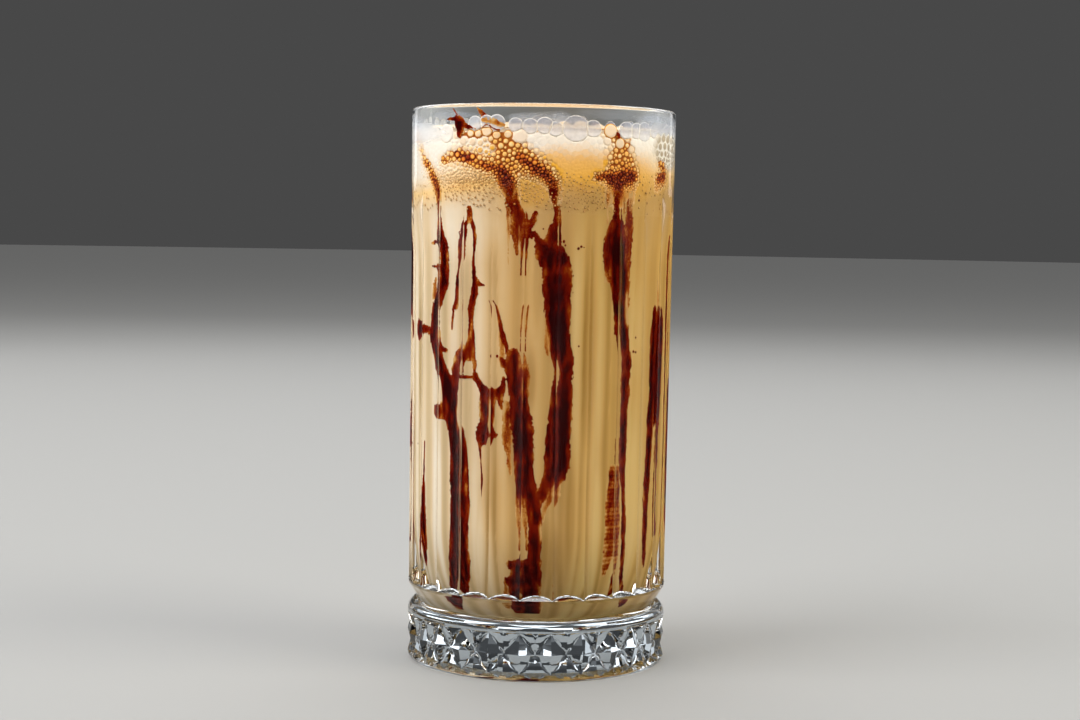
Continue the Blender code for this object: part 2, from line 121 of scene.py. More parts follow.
# Runs of sauce on the wall, from the top down: angle in degrees, height and width in millimetres
SAUCE_RUNS = {
    "sauce_front_web": [
        [(-52.8, 130, 1.4), (-52.6, 125, 1), (-52.4, 120, 1.6), (-52.2, 116.5, 3.4), (-50.3, 113, 3.8),
         (-50.4, 109, 4.2), (-51.2, 105, 4.4), (-54, 101, 3.4), (-57.3, 97.5, 4), (-58, 93, 4.4),
         (-57.8, 88.5, 4.6), (-54.8, 84.5, 4.2), (-52.4, 81.5, 4.4), (-49.4, 78.5, 5.4), (-46.6, 75.5, 6.8),
         (-46, 72, 6.2), (-44.8, 68.5, 5.2), (-42.6, 64.5, 5.4), (-41.1, 60, 6), (-40.4, 55, 6.5),
         (-40.2, 43, 6.6), (-40.8, 37, 6.4), (-41.6, 32.5, 7.4), (-42.6, 28.5, 7.6), (-45, 25, 6.6),
         (-49, 21.8, 5.6)],
        [(-60.5, 115.3, 0.7), (-57, 115.4, 1.5), (-53, 115.6, 1.8)],
        [(-60.5, 109, 0.6), (-57, 109, 1.4), (-53, 108.6, 2)],
        [(-55, 87.6, 2), (-51.5, 87, 1.9), (-48.8, 86.9, 1.1)],
        [(-54.6, 70.2, 4), (-51, 70.6, 4.6), (-47, 71, 4.6)],
        [(-60, 92, 1.9), (-66, 92, 1.9), (-70, 92, 2.4), (-74, 91.6, 4.4), (-77, 91.4, 5.6)],
        [(-34.6, 124.4, 1.5), (-34.6, 122.2, 1.6), (-36.6, 120.2, 1.5), (-37.6, 117.5, 1.9),
         (-38.9, 114.8, 1.8), (-39.6, 112.5, 1.8), (-39.8, 110.6, 1), (-40.6, 108, 0.7), (-41, 105.5, 1.2),
         (-41.3, 102, 1.4), (-42, 99.6, 1.7), (-43.6, 98, 1.5), (-44.4, 96, 1), (-44.9, 92.5, 0.5)],
        [(-34.4, 121.8, 1.4), (-32.8, 120.8, 0.9), (-31.9, 118.6, 1), (-31.7, 116.8, 1.3),
         (-31.8, 114.4, 1.2), (-32.4, 112.6, 0.7), (-32.6, 110.6, 1.1), (-32.3, 108, 1.5),
         (-31.6, 105.6, 2), (-31.6, 103.2, 2.1), (-32.6, 101, 1.9), (-33.7, 98.4, 2), (-34.1, 96, 1.7),
         (-33.5, 93.5, 2.3), (-33, 91, 2.5), (-33.4, 88.8, 3.4), (-34.8, 86.8, 4.6)],
        [(-36, 86.2, 2.6), (-39.6, 85.2, 3.2), (-41.8, 82.6, 3), (-42, 79.6, 3.8), (-44, 76.5, 4.4)],
        [(-33, 86.4, 3), (-31.6, 84, 1.4), (-31.5, 81.8, 1.3), (-31, 79.9, 2.2)],
        [(-39.5, 80, 1.6), (-35.5, 80.1, 0.7), (-32, 80.2, 0.9)],
        [(-31, 105, 1.6), (-28.6, 104.8, 1), (-26.3, 104.5, 0.4)],
        [(-23, 100.5, 0.4), (-21, 98.8, 0.7), (-19.8, 96.5, 1), (-18.4, 93.5, 1.2), (-17, 90.8, 1.4),
         (-15.8, 88.8, 1.2), (-15.4, 86.8, 0.8)],
        [(-31, 80.2, 1.8), (-29, 78.8, 2), (-27.3, 77.4, 2.4), (-25, 76.3, 3.2), (-22, 76, 3.4),
         (-19.2, 76.4, 3), (-17.4, 77.8, 2), (-16.6, 80, 2)],
        [(-19.4, 76, 2.2), (-18.6, 73.6, 1.6), (-17.6, 72.2, 0.8)],
        [(-25, 76, 4), (-24.6, 73.5, 4), (-24.6, 70.5, 3.8), (-25.4, 68, 3.8), (-26, 65.6, 5.4),
         (-27, 63.6, 3), (-28, 62, 1), (-27.6, 60, 0.7), (-27.2, 57, 0.5), (-26.6, 53, 0.6),
         (-26.8, 48.5, 0.3)],
        [(-25, 65, 2.6), (-22, 65, 1.4), (-20.2, 65.2, 0.8)],
        [(-18.8, 85.4, 1), (-16.4, 84.2, 2.4), (-13.6, 82.6, 4)],
        [(-9.6, 87.6, 1.2), (-11.5, 85.4, 5), (-12, 82.5, 6), (-11, 79.5, 5.4), (-10.2, 76.5, 4.8),
         (-9.6, 73.5, 5), (-8.6, 70.5, 5.8), (-7.8, 67, 5.4), (-7.2, 63, 5.2), (-6.5, 58.5, 5),
         (-5.9, 54.5, 4.9), (-5, 51, 5.2), (-3.3, 48, 4.2), (-1.8, 45, 4.2), (-1.5, 35, 4.2),
         (-2, 31.5, 5.6), (-4, 28.5, 8.6), (-5.6, 25, 9.4), (-5.4, 21, 9)],
        [(-11.5, 30.6, 3), (-8, 30.4, 3.4), (-3, 30, 4)],
        [(-14.5, 26.2, 2.6), (-9, 26, 5)],
        [(-14, 130, 2.6), (-12.2, 126.6, 2.6), (-9.6, 123.6, 2.2), (-8.3, 120.6, 2.6), (-6.8, 118.4, 3),
         (-4, 118.2, 1.7), (-1.6, 116.6, 2.2), (1, 114.6, 4.6), (3.2, 113.6, 7), (5, 111.4, 7.6),
         (6.7, 109, 7.7), (7.1, 105, 7.4), (7.8, 97, 7), (8.8, 93, 6.2), (9.7, 89.5, 5.6), (10.4, 86, 5.3),
         (11.2, 82, 4.8), (11.2, 78, 4.9), (10.5, 74, 5.5), (9.7, 70, 6.2), (9, 62, 6.4), (8.9, 58.5, 6.4),
         (7.9, 55.8, 5.8), (5.2, 53, 4.2), (2.8, 50.8, 3.4), (1, 48.5, 2.8), (-0.4, 46.5, 2.6)],
        [(9.5, 58.4, 3), (12.5, 58, 1.6), (14.6, 56.8, 0.8)],
        [(4.2, 131, 2), (4.6, 128.4, 2.4), (5.4, 126, 1.6), (6.4, 123.8, 1.2), (6.2, 121.5, 2),
         (5.5, 119, 2.8), (4.6, 116.5, 4.2), (4, 114, 5)],
        [(-3, 123.8, 1), (-4.2, 122, 1.4), (-5.4, 120.3, 1.6), (-6.4, 119, 2)],
        [(-7.6, 118.4, 2), (-8.1, 114, 1), (-8.4, 110, 0.5), (-8.5, 107.6, 0.6)],
    ],
    "sauce_right": [
        [(34.8, 129, 1.8), (34.8, 125, 1.7), (34.8, 122, 3.2), (35.2, 118, 5.4), (36, 113, 6),
         (36.8, 108, 6.2), (38.6, 103.5, 5.2), (39.3, 99, 4.8), (40, 94, 4.6), (41.5, 90.5, 4.2),
         (43, 87, 4), (43.6, 83, 4.1), (43, 78.5, 3.7), (42.8, 73, 3.4), (43, 68, 3.5), (42.4, 63, 3.1),
         (42.6, 57, 2.8), (43.6, 51, 1.9), (44.6, 45, 1.7), (45.4, 39, 1.9), (46, 33, 2.1), (47, 28, 2.4),
         (49.5, 24.5, 2.6), (53, 21.5, 3)],
        [(32, 121, 1.2), (32, 116, 3.2), (31.8, 111, 3.2), (32.2, 107, 3)],
    ],
    "sauce_far_right": [
        [(66.2, 98.6, 1.2), (66, 96.6, 3), (65.6, 92, 3.8), (65.6, 78, 3.6), (65.4, 70, 3.8), (65, 62, 4.2),
         (64, 55, 3.8), (63.2, 48, 3.4), (62.9, 41, 3.3), (63.8, 35.5, 3), (66, 31, 2.6), (68.6, 28, 1.4)],
        [(71.4, 99.4, 0.8), (71.2, 98, 2.6), (71.2, 95.6, 4.2), (71.2, 90, 4.6), (71.2, 80, 4.4),
         (70.8, 73, 3.6), (70.4, 67, 1.6)],
        [(75.4, 98.4, 0.8), (76, 96.6, 2.2), (76.6, 93, 3.6), (76.6, 88, 3.8), (76, 80, 3.6),
         (75.4, 70, 3.2), (74.6, 62, 3), (74.6, 52, 2.3), (75, 42, 1.8), (77, 36.5, 1.6)],
    ],
    "sauce_far_left": [
        [(-69.5, 61, 1.2), (-70, 57.5, 0.8), (-70.5, 54, 1), (-71, 51, 2.2), (-71.3, 47, 3.2),
         (-71.3, 43, 3.6), (-71.5, 39, 4.6), (-72, 35, 5.2), (-75, 31, 5), (-78, 28.5, 3)],
    ],
    "sauce_right_side": [
        [(84, 118, 1.2), (85.5, 100, 2.6), (87.5, 87, 2.4), (92, 70, 4), (93.5, 54, 2.4), (93, 36, 2)],
    ],
    "sauce_left_side": [
        [(-94, 122, 2.6), (-92, 109, 5), (-96, 95, 4), (-99, 83, 3), (-97, 64, 5), (-98, 48, 3.4),
         (-96, 32, 1.8)],
    ],
    "sauce_back_right": [
        [(126, 122, 4), (124, 108, 6), (129, 90, 4.5), (131, 76, 6), (129, 58, 4), (132, 40, 5.4),
         (131, 24, 3.6)],
        [(124, 106, 3), (117, 94, 3.5), (114, 82, 2.4), (115, 66, 1.4)],
    ],
    "sauce_back_web": [
        [(166, 128, 1.6), (168, 121, 3), (171, 112, 6), (168, 99, 5), (171, 86, 4.4), (178, 74, 6),
         (181, 58, 5), (180, 45, 6.2), (183, 24, 6)],
        [(197, 118, 2), (194, 105, 4), (190, 94, 3.4), (185, 83, 4.5), (180, 73, 5)],
        [(196, 112, 2.5), (204, 101, 3.5), (207, 88, 5), (205, 72, 4), (208, 56, 1.8)],
    ],
    "sauce_back_left": [
        [(231, 115, 1.8), (234, 98, 5), (231, 84, 5.2), (235, 66, 3.8), (233, 48, 5), (236, 28, 2)],
    ],
}

# Sauce drawn down from the rim to the foam, laid out as the other runs are
RIM_RUNS = [
    [(-46, 147.9, 0.4), (-43.5, 148, 1), (-41, 147.8, 1.8), (-39.3, 146.6, 2.8), (-38.9, 145, 2),
     (-39.3, 143.8, 1), (-38.8, 143.2, 0.6)],
    [(-38, 146.4, 2.2), (-35, 146, 1.4), (-32.2, 145.5, 0.8), (-30.5, 145.3, 0.4)],
    [(-27.3, 145.7, 0.3), (-25, 146.4, 0.45), (-22.6, 145.6, 0.4), (-20.4, 145, 0.5), (-19.2, 145, 0.4)],
    [(33, 144.8, 0.5), (33.7, 144.2, 1.3), (34.2, 143.5, 0.5)],
]

# Threads of it up to the rim
RIM_THREADS = [
    [(-43, 150.6, 0.35), (-41.2, 149.3, 0.5), (-39.8, 148.2, 0.8)],
    [(-30, 150.7, 0.5), (-28.3, 149.7, 1.1), (-26.4, 148.4, 1.4), (-25, 147.4, 1.1)],
]

# A film of it beside the threads
RIM_FILMS = [
    [(-27.4, 147.6, 0.6), (-25, 147.4, 1.6), (-21.4, 147, 1.8), (-17.6, 146.2, 0.8)],
]

# Where a run is thin enough to glow amber: angle, height, half width, half height, and strength if not 1
THIN_PATCHES = [
    (11.5, 108.5, 1.6, 4), (5, 127, 2, 3), (-12, 128, 2, 3), (-41, 68, 1.6, 5), (-53.5, 70.5, 2, 3),
    (-48, 111, 0.8, 4), (-42, 84, 2, 2.4), (-38, 88, 1.5, 1.5), (-39, 24.5, 3, 3), (-27.6, 72, 1, 4),
    (-22.5, 69, 1, 3), (-72, 34.5, 5, 2.6), (31.5, 108, 2, 4), (42.6, 98, 1.2, 7), (-16.4, 83, 1.8, 4),
    (-37, 50, 1, 20, 0.5), (1.4, 39, 0.8, 8), (-33.6, 93, 0.8, 4), (-34.4, 121.5, 1.2, 2),
    (-11, 82, 4.4, 7, 0.7), (-9, 75, 3.4, 5, 0.5), (-36, 86, 5, 6, 0.6), (-43, 81, 4, 5, 0.5),
    (-2, 115, 3, 4, 0.7), (43, 86, 2, 8, 0.5), (-55, 99, 1.6, 5, 0.5), (129, 84, 3, 9), (176, 80, 3, 9),
    (206, 84, 3, 6), (233, 58, 3, 9), (-96, 88, 3, 9),
]

# Where it is thick enough to look black, laid out as the thin patches are
THICK_PATCHES = [
    (7.6, 97, 2.6, 14, 1.4), (10.8, 72, 2.6, 16, 1.4), (-43.4, 52, 2.2, 26), (-56.4, 95, 1.6, 8),
    (-51, 109, 1.6, 7), (-48, 77, 3, 4), (-8.6, 72, 2, 12), (-4.6, 52, 1.8, 10), (36, 112, 2.2, 10),
    (40.6, 92, 1.6, 9), (66, 84, 3, 18), (76.4, 80, 3, 22, 0.8), (-71, 44, 1.6, 7),
    (-39.3, 146.4, 1.4, 1.8), (126, 100, 3, 14), (131, 60, 3, 20), (170, 104, 3, 14), (181, 50, 3, 20),
    (205, 96, 2.4, 10), (233, 92, 3, 12), (-94, 108, 3, 12), (-97, 62, 3, 12),
]

# Films of sauce too thin to hide the coffee, laid out as the runs are
FILM_RUNS = [
    [(-9.6, 124, 0.8), (-9.4, 118, 1), (-9.3, 113, 0.6)],
    [(-15, 124.5, 1.2), (-15.1, 119.5, 0.9), (-15.2, 115, 0.4), (-15.2, 110, 0.3)],
    [(2.8, 96, 1.6), (3.2, 92, 1.8), (3.6, 88, 1.6), (3.8, 86.6, 0.8)],
    [(-18.6, 95, 0.8), (-18, 91, 1.6), (-17.6, 87.5, 1.6), (-17.8, 83.5, 1.2)],
    [(-15, 73.5, 2.2), (-15, 69, 3.2), (-14.6, 64, 3), (-13.6, 59, 1.6), (-12.6, 55, 0.9)],
    [(-27.6, 73.5, 1), (-27.8, 70, 1.2)],
    [(-22.6, 71, 1.6), (-22.4, 67.5, 1.2)],
    [(-57.5, 105.5, 1.6), (-58, 101, 2.4)],
    [(-53.5, 72.5, 1.6), (-53, 69, 1.8)],
    [(-15.8, 26.5, 1.6), (-15.8, 22, 3)],
    [(1, 29, 2.2), (1.2, 24, 2.6), (1, 20.5, 2.6)],
    [(-7.6, 52, 2), (-7.4, 46.5, 2.6), (-6.4, 40, 1.8), (-5.6, 35, 0.8)],
    [(8.4, 53.6, 2.6), (6.6, 50, 3.2), (4.4, 46.6, 2.2), (3, 43, 1)],
    [(30, 129.5, 1.4), (29.8, 125, 0.8), (30.2, 121.5, 0.8)],
    [(42, 129.5, 1.4), (42, 125, 0.7)],
    [(68.6, 106, 0.4), (69, 102, 0.8), (69.4, 98.4, 1.2)],
    [(38.4, 128, 1), (38, 124, 0.6)],
    [(170, 84, 3), (174, 70, 3.4), (176, 58, 2)],
    [(134, 96, 2), (136, 82, 2.4), (136, 68, 1.4)],
    [(228, 92, 2), (229, 78, 2.4), (230, 62, 1.4)],
]

# Smears of sauce that are a little thicker
SMEARED_RUNS = [
    [(-14.6, 129, 2.6), (-13.4, 126, 3.6), (-12.4, 122.5, 3.8), (-11.6, 119, 3.2), (-11, 116, 1.8),
     (-10.8, 113, 0.8)],
    [(-6.4, 99.6, 0.4), (-7.2, 97, 0.8), (-7.6, 94.6, 1), (-7.8, 91, 0.5), (-8, 87.6, 0.9)],
    [(-4.6, 59, 1), (-6.4, 62, 2.6), (-7.2, 66, 2.8), (-7.6, 72, 2.8), (-7.6, 80, 2.8), (-8.4, 86, 1.4)],
    [(41.4, 127, 2), (42, 120, 2.8), (42.2, 112, 3), (42.4, 105, 2.4), (43.4, 99.5, 1.4)],
]

# Films that have dried in ripples
RIPPLED_RUNS = [
    [(38, 56, 2.2), (38, 50, 3.8), (38.2, 44, 4.4), (38.2, 38, 4.4), (38, 32, 3.6), (37, 28, 2)],
    [(188, 40, 3), (190, 32, 4), (189, 24, 3)],
]

# Sauce drawn between the bubbles of the foam, laid out as the runs are: where it tints them
STAIN_RUNS = [
    [(-74, 144.3, 0.7), (-70, 142, 1), (-66, 138.6, 1.3), (-62, 136.2, 2.2), (-58.5, 134.4, 2.4),
     (-55.5, 132.4, 2.8), (-53.2, 129.6, 1.9), (-53, 126.5, 1.2)],
    [(-49.5, 137.1, 1), (-45, 137.9, 2.6), (-40, 138.4, 3.4), (-36, 138, 4.2), (-30, 137, 4.2),
     (-25, 136, 4.6), (-19, 134.2, 5.2), (-15, 131.4, 5), (-13.5, 127.5, 3.2)],
    [(-38, 144.2, 2.6), (-30, 144.6, 2.6), (-24, 145, 3), (-19, 143.1, 4.9), (-16, 140.6, 6.6),
     (-11, 137.8, 7.4), (-7, 136.3, 7), (-2, 134.8, 5.8), (3, 132.6, 4.2), (5, 130.3, 2.7),
     (5.4, 127, 1.8)],
    [(-18, 140, 5), (-16, 134, 7)],
    [(29.5, 145.6, 4), (34, 143.6, 4), (36, 141.3, 5), (36, 138.5, 7), (36.6, 135.6, 9), (37, 133, 9.6),
     (37.4, 131, 7.4)],
    [(24.4, 133.2, 1.6), (29, 133.4, 2.4)],
    [(30.2, 131, 2), (30, 126, 1)],
    [(34.8, 131, 2.8), (34.6, 126, 2)],
    [(42.6, 131, 1.8), (42.2, 125.5, 1)],
    [(61.5, 137.2, 1), (65.5, 136.6, 2), (66.5, 134.2, 4), (62.5, 133, 4.4), (60.5, 131.4, 2.4)],
    [(120, 142, 4), (124, 137, 8), (126, 131, 6), (126, 127, 3)],
    [(150, 145, 3), (158, 141, 5), (166, 136, 7), (168, 130, 4), (168, 126, 2)],
    [(196, 146, 3), (199, 139, 8), (197, 132, 6), (197, 126, 2)],
    [(228, 140, 4), (232, 134, 7), (231, 127, 3)],
    [(262, 143, 3), (266, 135, 7), (267, 127, 3)],
]

# Where it pools between them
POOLED_RUNS = [
    [(-63.4, 136.7, 0.9), (-60.4, 136, 1)],
    [(-57, 132.8, 1.3), (-54.6, 131.2, 2.1), (-53, 129, 1.6), (-52.9, 127, 1)],
    [(-49.4, 137.2, 0.8), (-47.4, 137, 0.6)],
    [(-40.4, 138.6, 0.8), (-36.4, 137.8, 1.8), (-33, 137.4, 1.4)],
    [(-29, 136.4, 0.8), (-25.6, 135.6, 1), (-22, 135.2, 1.2)],
    [(-18.5, 134.4, 2.4), (-16, 131.6, 3.6), (-13.4, 128, 2.4), (-12, 125.5, 2.2)],
    [(-11, 138.4, 0.8), (-8, 137, 1.4), (-4, 135.6, 2.4), (0, 134, 2.6), (3.2, 132, 1.8), (5.4, 130, 1.4)],
    [(24.6, 133.2, 1.2), (28, 133.5, 1.6), (31, 132.8, 3), (35, 132.6, 3.6), (40, 133.7, 3.4),
     (43.6, 133.8, 2.2)],
    [(34.6, 131.5, 3.4), (34.8, 128.5, 2.2), (34.8, 125, 1.6)],
    [(61.8, 137.1, 0.9), (65, 136.5, 1.3)],
    [(61, 133.4, 1.4), (66, 134, 2.2)],
    [(123, 136, 3), (126, 130, 3.4)],
    [(162, 138, 2.4), (168, 132, 3.4), (168, 127, 1.6)],
    [(199, 138, 3), (197, 131, 3.4)],
    [(232, 134, 3), (231, 128, 2)],
    [(266, 135, 3), (267, 128, 2)],
]

# Foam that the sauce only tints, laid out as the thin patches are
WARM_PATCHES = [
    (6, 135.5, 10, 7.5, 0.9), (17, 135, 12, 8, 0.9), (27, 135, 9, 7.5, 0.8), (47, 133.5, 8, 8, 0.6),
    (-22, 139.5, 11, 6, 0.7), (-36, 133.5, 14, 6, 0.5), (-5, 129, 8, 6, 0.6), (150, 136, 16, 8, 0.8),
    (215, 136, 12, 8, 0.8), (262, 135, 10, 8, 0.7), (105, 134, 12, 8, 0.6),
]

# Foam whose bubbles are edged with white
NET_PATCHES = [
    (72, 141.4, 12, 8), (175, 142, 9, 5), (246, 142, 8, 5),
]

# The rest of the foam that shows its bubbles where no sauce is
BUBBLY_PATCHES = [
    (-25, 140.5, 15, 7), (-34, 132, 20, 9), (-46, 143.6, 5, 4), (33, 141.5, 6, 4), (150, 141, 14, 6),
    (197, 141, 10, 6), (231, 139, 8, 5), (266, 140, 8, 5), (122, 140, 8, 5),
]

# Where painted shade makes the coffee darker than the rest, laid out as the other patches are
SHADED_PATCHES = [
    (23, 88, 2.8, 44, 1.2), (22.6, 48, 3, 26, 0.5), (15.8, 44, 2.4, 28, 1.3), (-2, 104, 2, 16, 0.6),
    (-4.6, 80, 2.6, 12, 1), (4.3, 34, 3.6, 13, 0.7), (-20.5, 46, 2.4, 20, 0.5), (-74, 86, 3.4, 30, 1),
    (-13.4, 62, 2, 14, 0.5),
]

# Where painted light makes it lighter
LIT_PATCHES = [
    (15.6, 98, 1.6, 24, 0.5), (29.4, 84, 2, 44, 1), (29.4, 40, 2.2, 30, 1.4), (50, 46, 5, 40, 1.4),
    (49.5, 92, 4.5, 22, 0.7), (57, 46, 3, 30, 0.7), (-33, 40, 2.6, 30, 0.6), (-56, 45, 2.4, 28, 0.9),
    (-26, 34, 3, 16, 0.9), (-38, 120, 18, 12, 1), (-27, 92, 5, 24, 0.5),
]

# Bubbles of the foam that are placed one by one: angle, height and radius in millimetres
GREAT_BUBBLES = [
    (-47, 144.2, 2.5), (-37.4, 144.4, 0.6), (-33.2, 144.2, 1.1), (-29.4, 144.1, 1.1), (-25.2, 144.8, 1.55),
    (-20.6, 143.7, 1.15), (-37.2, 142.2, 1.1), (-32.2, 141.9, 1.05), (-28.3, 141.7, 0.9),
    (-26.1, 142.5, 0.7), (-10, 143.4, 1.75), (-15.5, 143.9, 1.1), (-13.9, 141.3, 0.85),
    (-16.4, 142.1, 0.75), (30, 145.3, 1.95), (28.4, 142.6, 1.1), (34.9, 142.2, 1.5), (38.8, 143.4, 0.9),
    (60, 144, 1.35), (65, 144.4, 1.3), (70, 144.2, 1.35), (75, 144, 1.3), (57.4, 142.6, 1.1),
    (62, 142, 1.05), (66.6, 142.2, 1.1), (71.4, 142, 1.05), (77, 141.6, 1.2), (59.4, 140.2, 0.95),
    (63.6, 140.1, 0.9), (67.6, 140.2, 0.95), (72, 139.8, 0.9),
]

# The clear ones along the foam's edge
CLEAR_BUBBLES = [
    (-31, 146.9, 1.7), (-25.4, 147.2, 1.6), (-20.6, 147, 1.9), (-12.2, 146.5, 1.6), (-5.8, 146.2, 1.75),
    (0.4, 146.4, 1.9), (5, 145.6, 1.7), (13.8, 145.9, 2.95), (21.6, 145.9, 1.95), (38.2, 145.8, 2),
    (44, 145.8, 1.8), (49, 145.7, 2.2), (56, 145.9, 1.5), (62, 146.4, 1.4), (68, 146.5, 1.4),
    (74, 146.5, 1.3), (80, 146.4, 1.4),
]

# Mist and thin skins of dried foam on the glass, as patches with how far they hide what is behind
HAZE_PATCHES = [
    (-75, 144.8, 24, 4.8, 0.75), (-38, 149, 8, 1.2, 0.25), (7, 148.4, 4, 2.4, 0.55),
    (-8, 148.4, 6, 1.4, 0.3), (30, 149.4, 14, 2, 0.3), (64, 147.6, 17, 4, 0.5), (50, 147.6, 6, 1.4, 0.45),
    (110, 148, 14, 2.2, 0.6), (180, 148, 16, 2.2, 0.6), (240, 148, 16, 2.2, 0.6),
]

# Where the foam's pinprick bubbles are thickest, as patches
PIP_PATCHES = [
    (13, 129.5, 8, 6), (-5, 130, 5, 5), (-34, 131, 14, 6), (24, 128.5, 4, 4), (110, 129, 12, 6),
    (184, 129, 12, 6), (250, 129, 12, 6),
]

# The usual radius of a bubble against the glass at each height, in millimetres
BUBBLE_HEIGHTS = [124, 129, 131, 133, 136, 138, 141, 144.3, 148]
BUBBLE_RADII = [0.18, 0.24, 0.32, 0.43, 0.56, 0.72, 0.92, 1.35, 1.8]
BUBBLES_FROM = 128.6 * MM
BUBBLES_BELOW = 145.0 * MM
BUBBLE_SHEET_TOP = 150.0 * MM
BUBBLE_STEP = 0.17 * MM

# Clear bubbles round the back are drawn between these: angle, height and radius
BACK_CLEAR_LEAST = (85, 145.0, 1.4)
BACK_CLEAR_MOST = (274, 146.6, 2.6)
BACK_CLEAR_TRIES = 300

# Tries at placing the usual bubbles, and the least share of its size that one may shrink to
BUBBLE_TRIES = ((26000, 0.95), (45000, 0.62), (60000, 0.42))
TOP_BUBBLE_TRIES = ((9000, 0.95), (14000, 0.6))

# How dark stained foam is where its bubbles are too fine to see, as a share of their grooves
SEEN_THROUGH = 0.75

# The clear bubbles' skins whiten downwards between these heights, and the haze between the next two
FILM_CLEAR_FROM = 146.6 * MM
FILM_WHITE_BELOW = 144.4 * MM
HAZE_CLEAR_FROM = 148.4 * MM
HAZE_WHITE_BELOW = 144.8 * MM

# The bands of the wall that the haze and the pinprick bubbles are laid out on
HAZE_BAND = (139.5 * MM, 150.9 * MM)
HAZE_STEP = 0.25 * MM
PIP_BAND = (124.2 * MM, 134.5 * MM)
PIP_RADII = (0.2 * MM, 0.4 * MM)
PIP_TRIES = 24000

# Where the sauce in the foam fades in upwards, its warm edges too, and where the foam's side ends
STAIN_FADE = (123.8 * MM, 127 * MM)
HALO_FADE = (125 * MM, 130 * MM)
SIDE_FADE = (29.4 * MM, 31.6 * MM)
INNER_FOAM = 30 * MM

# Seeds of the random draws
LIGHT_SEED = 5
BUBBLE_SEED = 11
TOP_SEED = 12
PIP_SEED = 13

# Rings of a bubble, outermost first and ending in its tip: width, height and groove
PIP_RINGS = [(1.0, -0.1, 1.0), (0.7, 0.25, 0.9), (0.0, 0.35, 0.6)]
ROUND_RINGS = [(1.0, -0.2, 1.0), (0.94, 0.2, 0.5), (0.75, 0.5, 0.1), (0.4, 0.7, 0.0), (0.0, 0.78, 0.0)]

# Where the rim's front is warmed by a painted reflection of the drink, as patches
RIM_REFLECTION_PATCHES = [(6, 152.4, 22, 2.6)]

# Specks of sauce: angle, height and width in millimetres
SPECKS = [
    (9.2, 116.4, 1), (10, 115.4, 0.7), (16.6, 114.6, 0.9), (18, 115.1, 0.8), (19.4, 114.9, 0.4),
    (0.5, 119.6, 0.5), (18, 89, 0.6), (-20.5, 86, 1), (47.5, 127.6, 0.8), (50, 91, 0.7), (48.6, 87.3, 0.9),
    (50.4, 87.1, 0.8), (22.8, 141.2, 0.6), (22, 136, 0.5), (42.8, 136.4, 0.5), (32.4, 139.4, 0.5),
    (53, 124, 0.4), (100, 96, 0.7), (146, 88, 0.8), (150, 111, 0.6), (218, 76, 0.7), (250, 101, 0.8),
    (-80, 60, 0.6),
]

# The camera, from the outline of the glass in the photo: its place, its angles in degrees, and its lens
CAMERA_PLACE = (0, -0.5692, 0.1209)
CAMERA_TIP = 3.80
CAMERA_TURN = 0.98
CAMERA_LENS = 68.44
CAMERA_SENSOR = 36
LAMP_AIM = (0, 0, 0.08)
WHITE = (1.0, 1.0, 1.0)


class GlassSettings(bpy.types.PropertyGroup):
    flutes: IntProperty(
        name="Flutes", description="Flutes, and diamonds, round the glass", default=26, min=8
    )
    flute_depth: FloatProperty(
        name="Flute depth", description="How deep a flute is", default=2.0 * MM, unit="LENGTH"
    )
    diamond_depth: FloatProperty(
        name="Diamond depth", description="How deep the foot is cut", default=1.4 * MM, unit="LENGTH"
    )
    tint: FloatVectorProperty(
        name="Tint", description="Colour of the glass", default=(0.985, 0.995, 0.99),
        size=3, subtype="COLOR",
    )
    # Painted shade: the foot's glass is darkened to grey-blue, as if dark surroundings showed through it
    foot_shade_tint: FloatVectorProperty(
        name="Foot", description="Colour of the thick glass of the foot", default=(0.54, 0.60, 0.65),
        size=3, subtype="COLOR",
    )
    # Painted reflection: the drink's warm colour, laid on the front of the rim
    rim_reflection_tint: FloatVectorProperty(
        name="Rim", description="Colour of the rim at the front", default=(1.0, 0.84, 0.66),
        size=3, subtype="COLOR",
    )


class DrinkSettings(bpy.types.PropertyGroup):
    cream: FloatVectorProperty(
        name="Cream", description="Palest coffee", default=(0.86, 0.78, 0.66),
        size=3, subtype="COLOR_GAMMA",
    )
    beige: FloatVectorProperty(
        name="Beige", description="Most of the coffee", default=(0.81, 0.66, 0.44),
        size=3, subtype="COLOR_GAMMA",
    )
    tan: FloatVectorProperty(
        name="Tan", description="Darkest coffee", default=(0.79, 0.64, 0.37),
        size=3, subtype="COLOR_GAMMA",
    )


class FoamSettings(bpy.types.PropertyGroup):
    white: FloatVectorProperty(
        name="White", description="Foam against the glass", default=(0.99, 0.97, 0.93),
        size=3, subtype="COLOR_GAMMA",
    )
    # Painted shade: the top of the foam is given this darker colour than the foam against the glass, to hold
    # back the lamp overhead
    top: FloatVectorProperty(
        name="Top", description="Foam seen from above", default=(0.85, 0.77, 0.65),
        size=3, subtype="COLOR_GAMMA",
    )
    warm: FloatVectorProperty(
        name="Warm", description="Foam tinted by the sauce", default=(0.94, 0.70, 0.24),
        size=3, subtype="COLOR_GAMMA",
    )
    bubble_scale: FloatProperty(
        name="Bubble size", description="Scales the foam's bubbles", default=1.0, min=0.5
    )


class SauceSettings(bpy.types.PropertyGroup):
    dark: FloatVectorProperty(
        name="Thick", description="Thick sauce", default=(0.15, 0.012, 0.012),
        size=3, subtype="COLOR_GAMMA",
    )
    red: FloatVectorProperty(
        name="Middling", description="Sauce of middling thickness", default=(0.40, 0.055, 0.01),
        size=3, subtype="COLOR_GAMMA",
    )
    amber: FloatVectorProperty(
        name="Thin", description="Thin sauce", default=(0.74, 0.50, 0.22),
        size=3, subtype="COLOR_GAMMA",
    )
    raggedness: FloatProperty(
        name="Raggedness", description="How far an edge wanders", default=0.38 * MM, unit="LENGTH"
    )


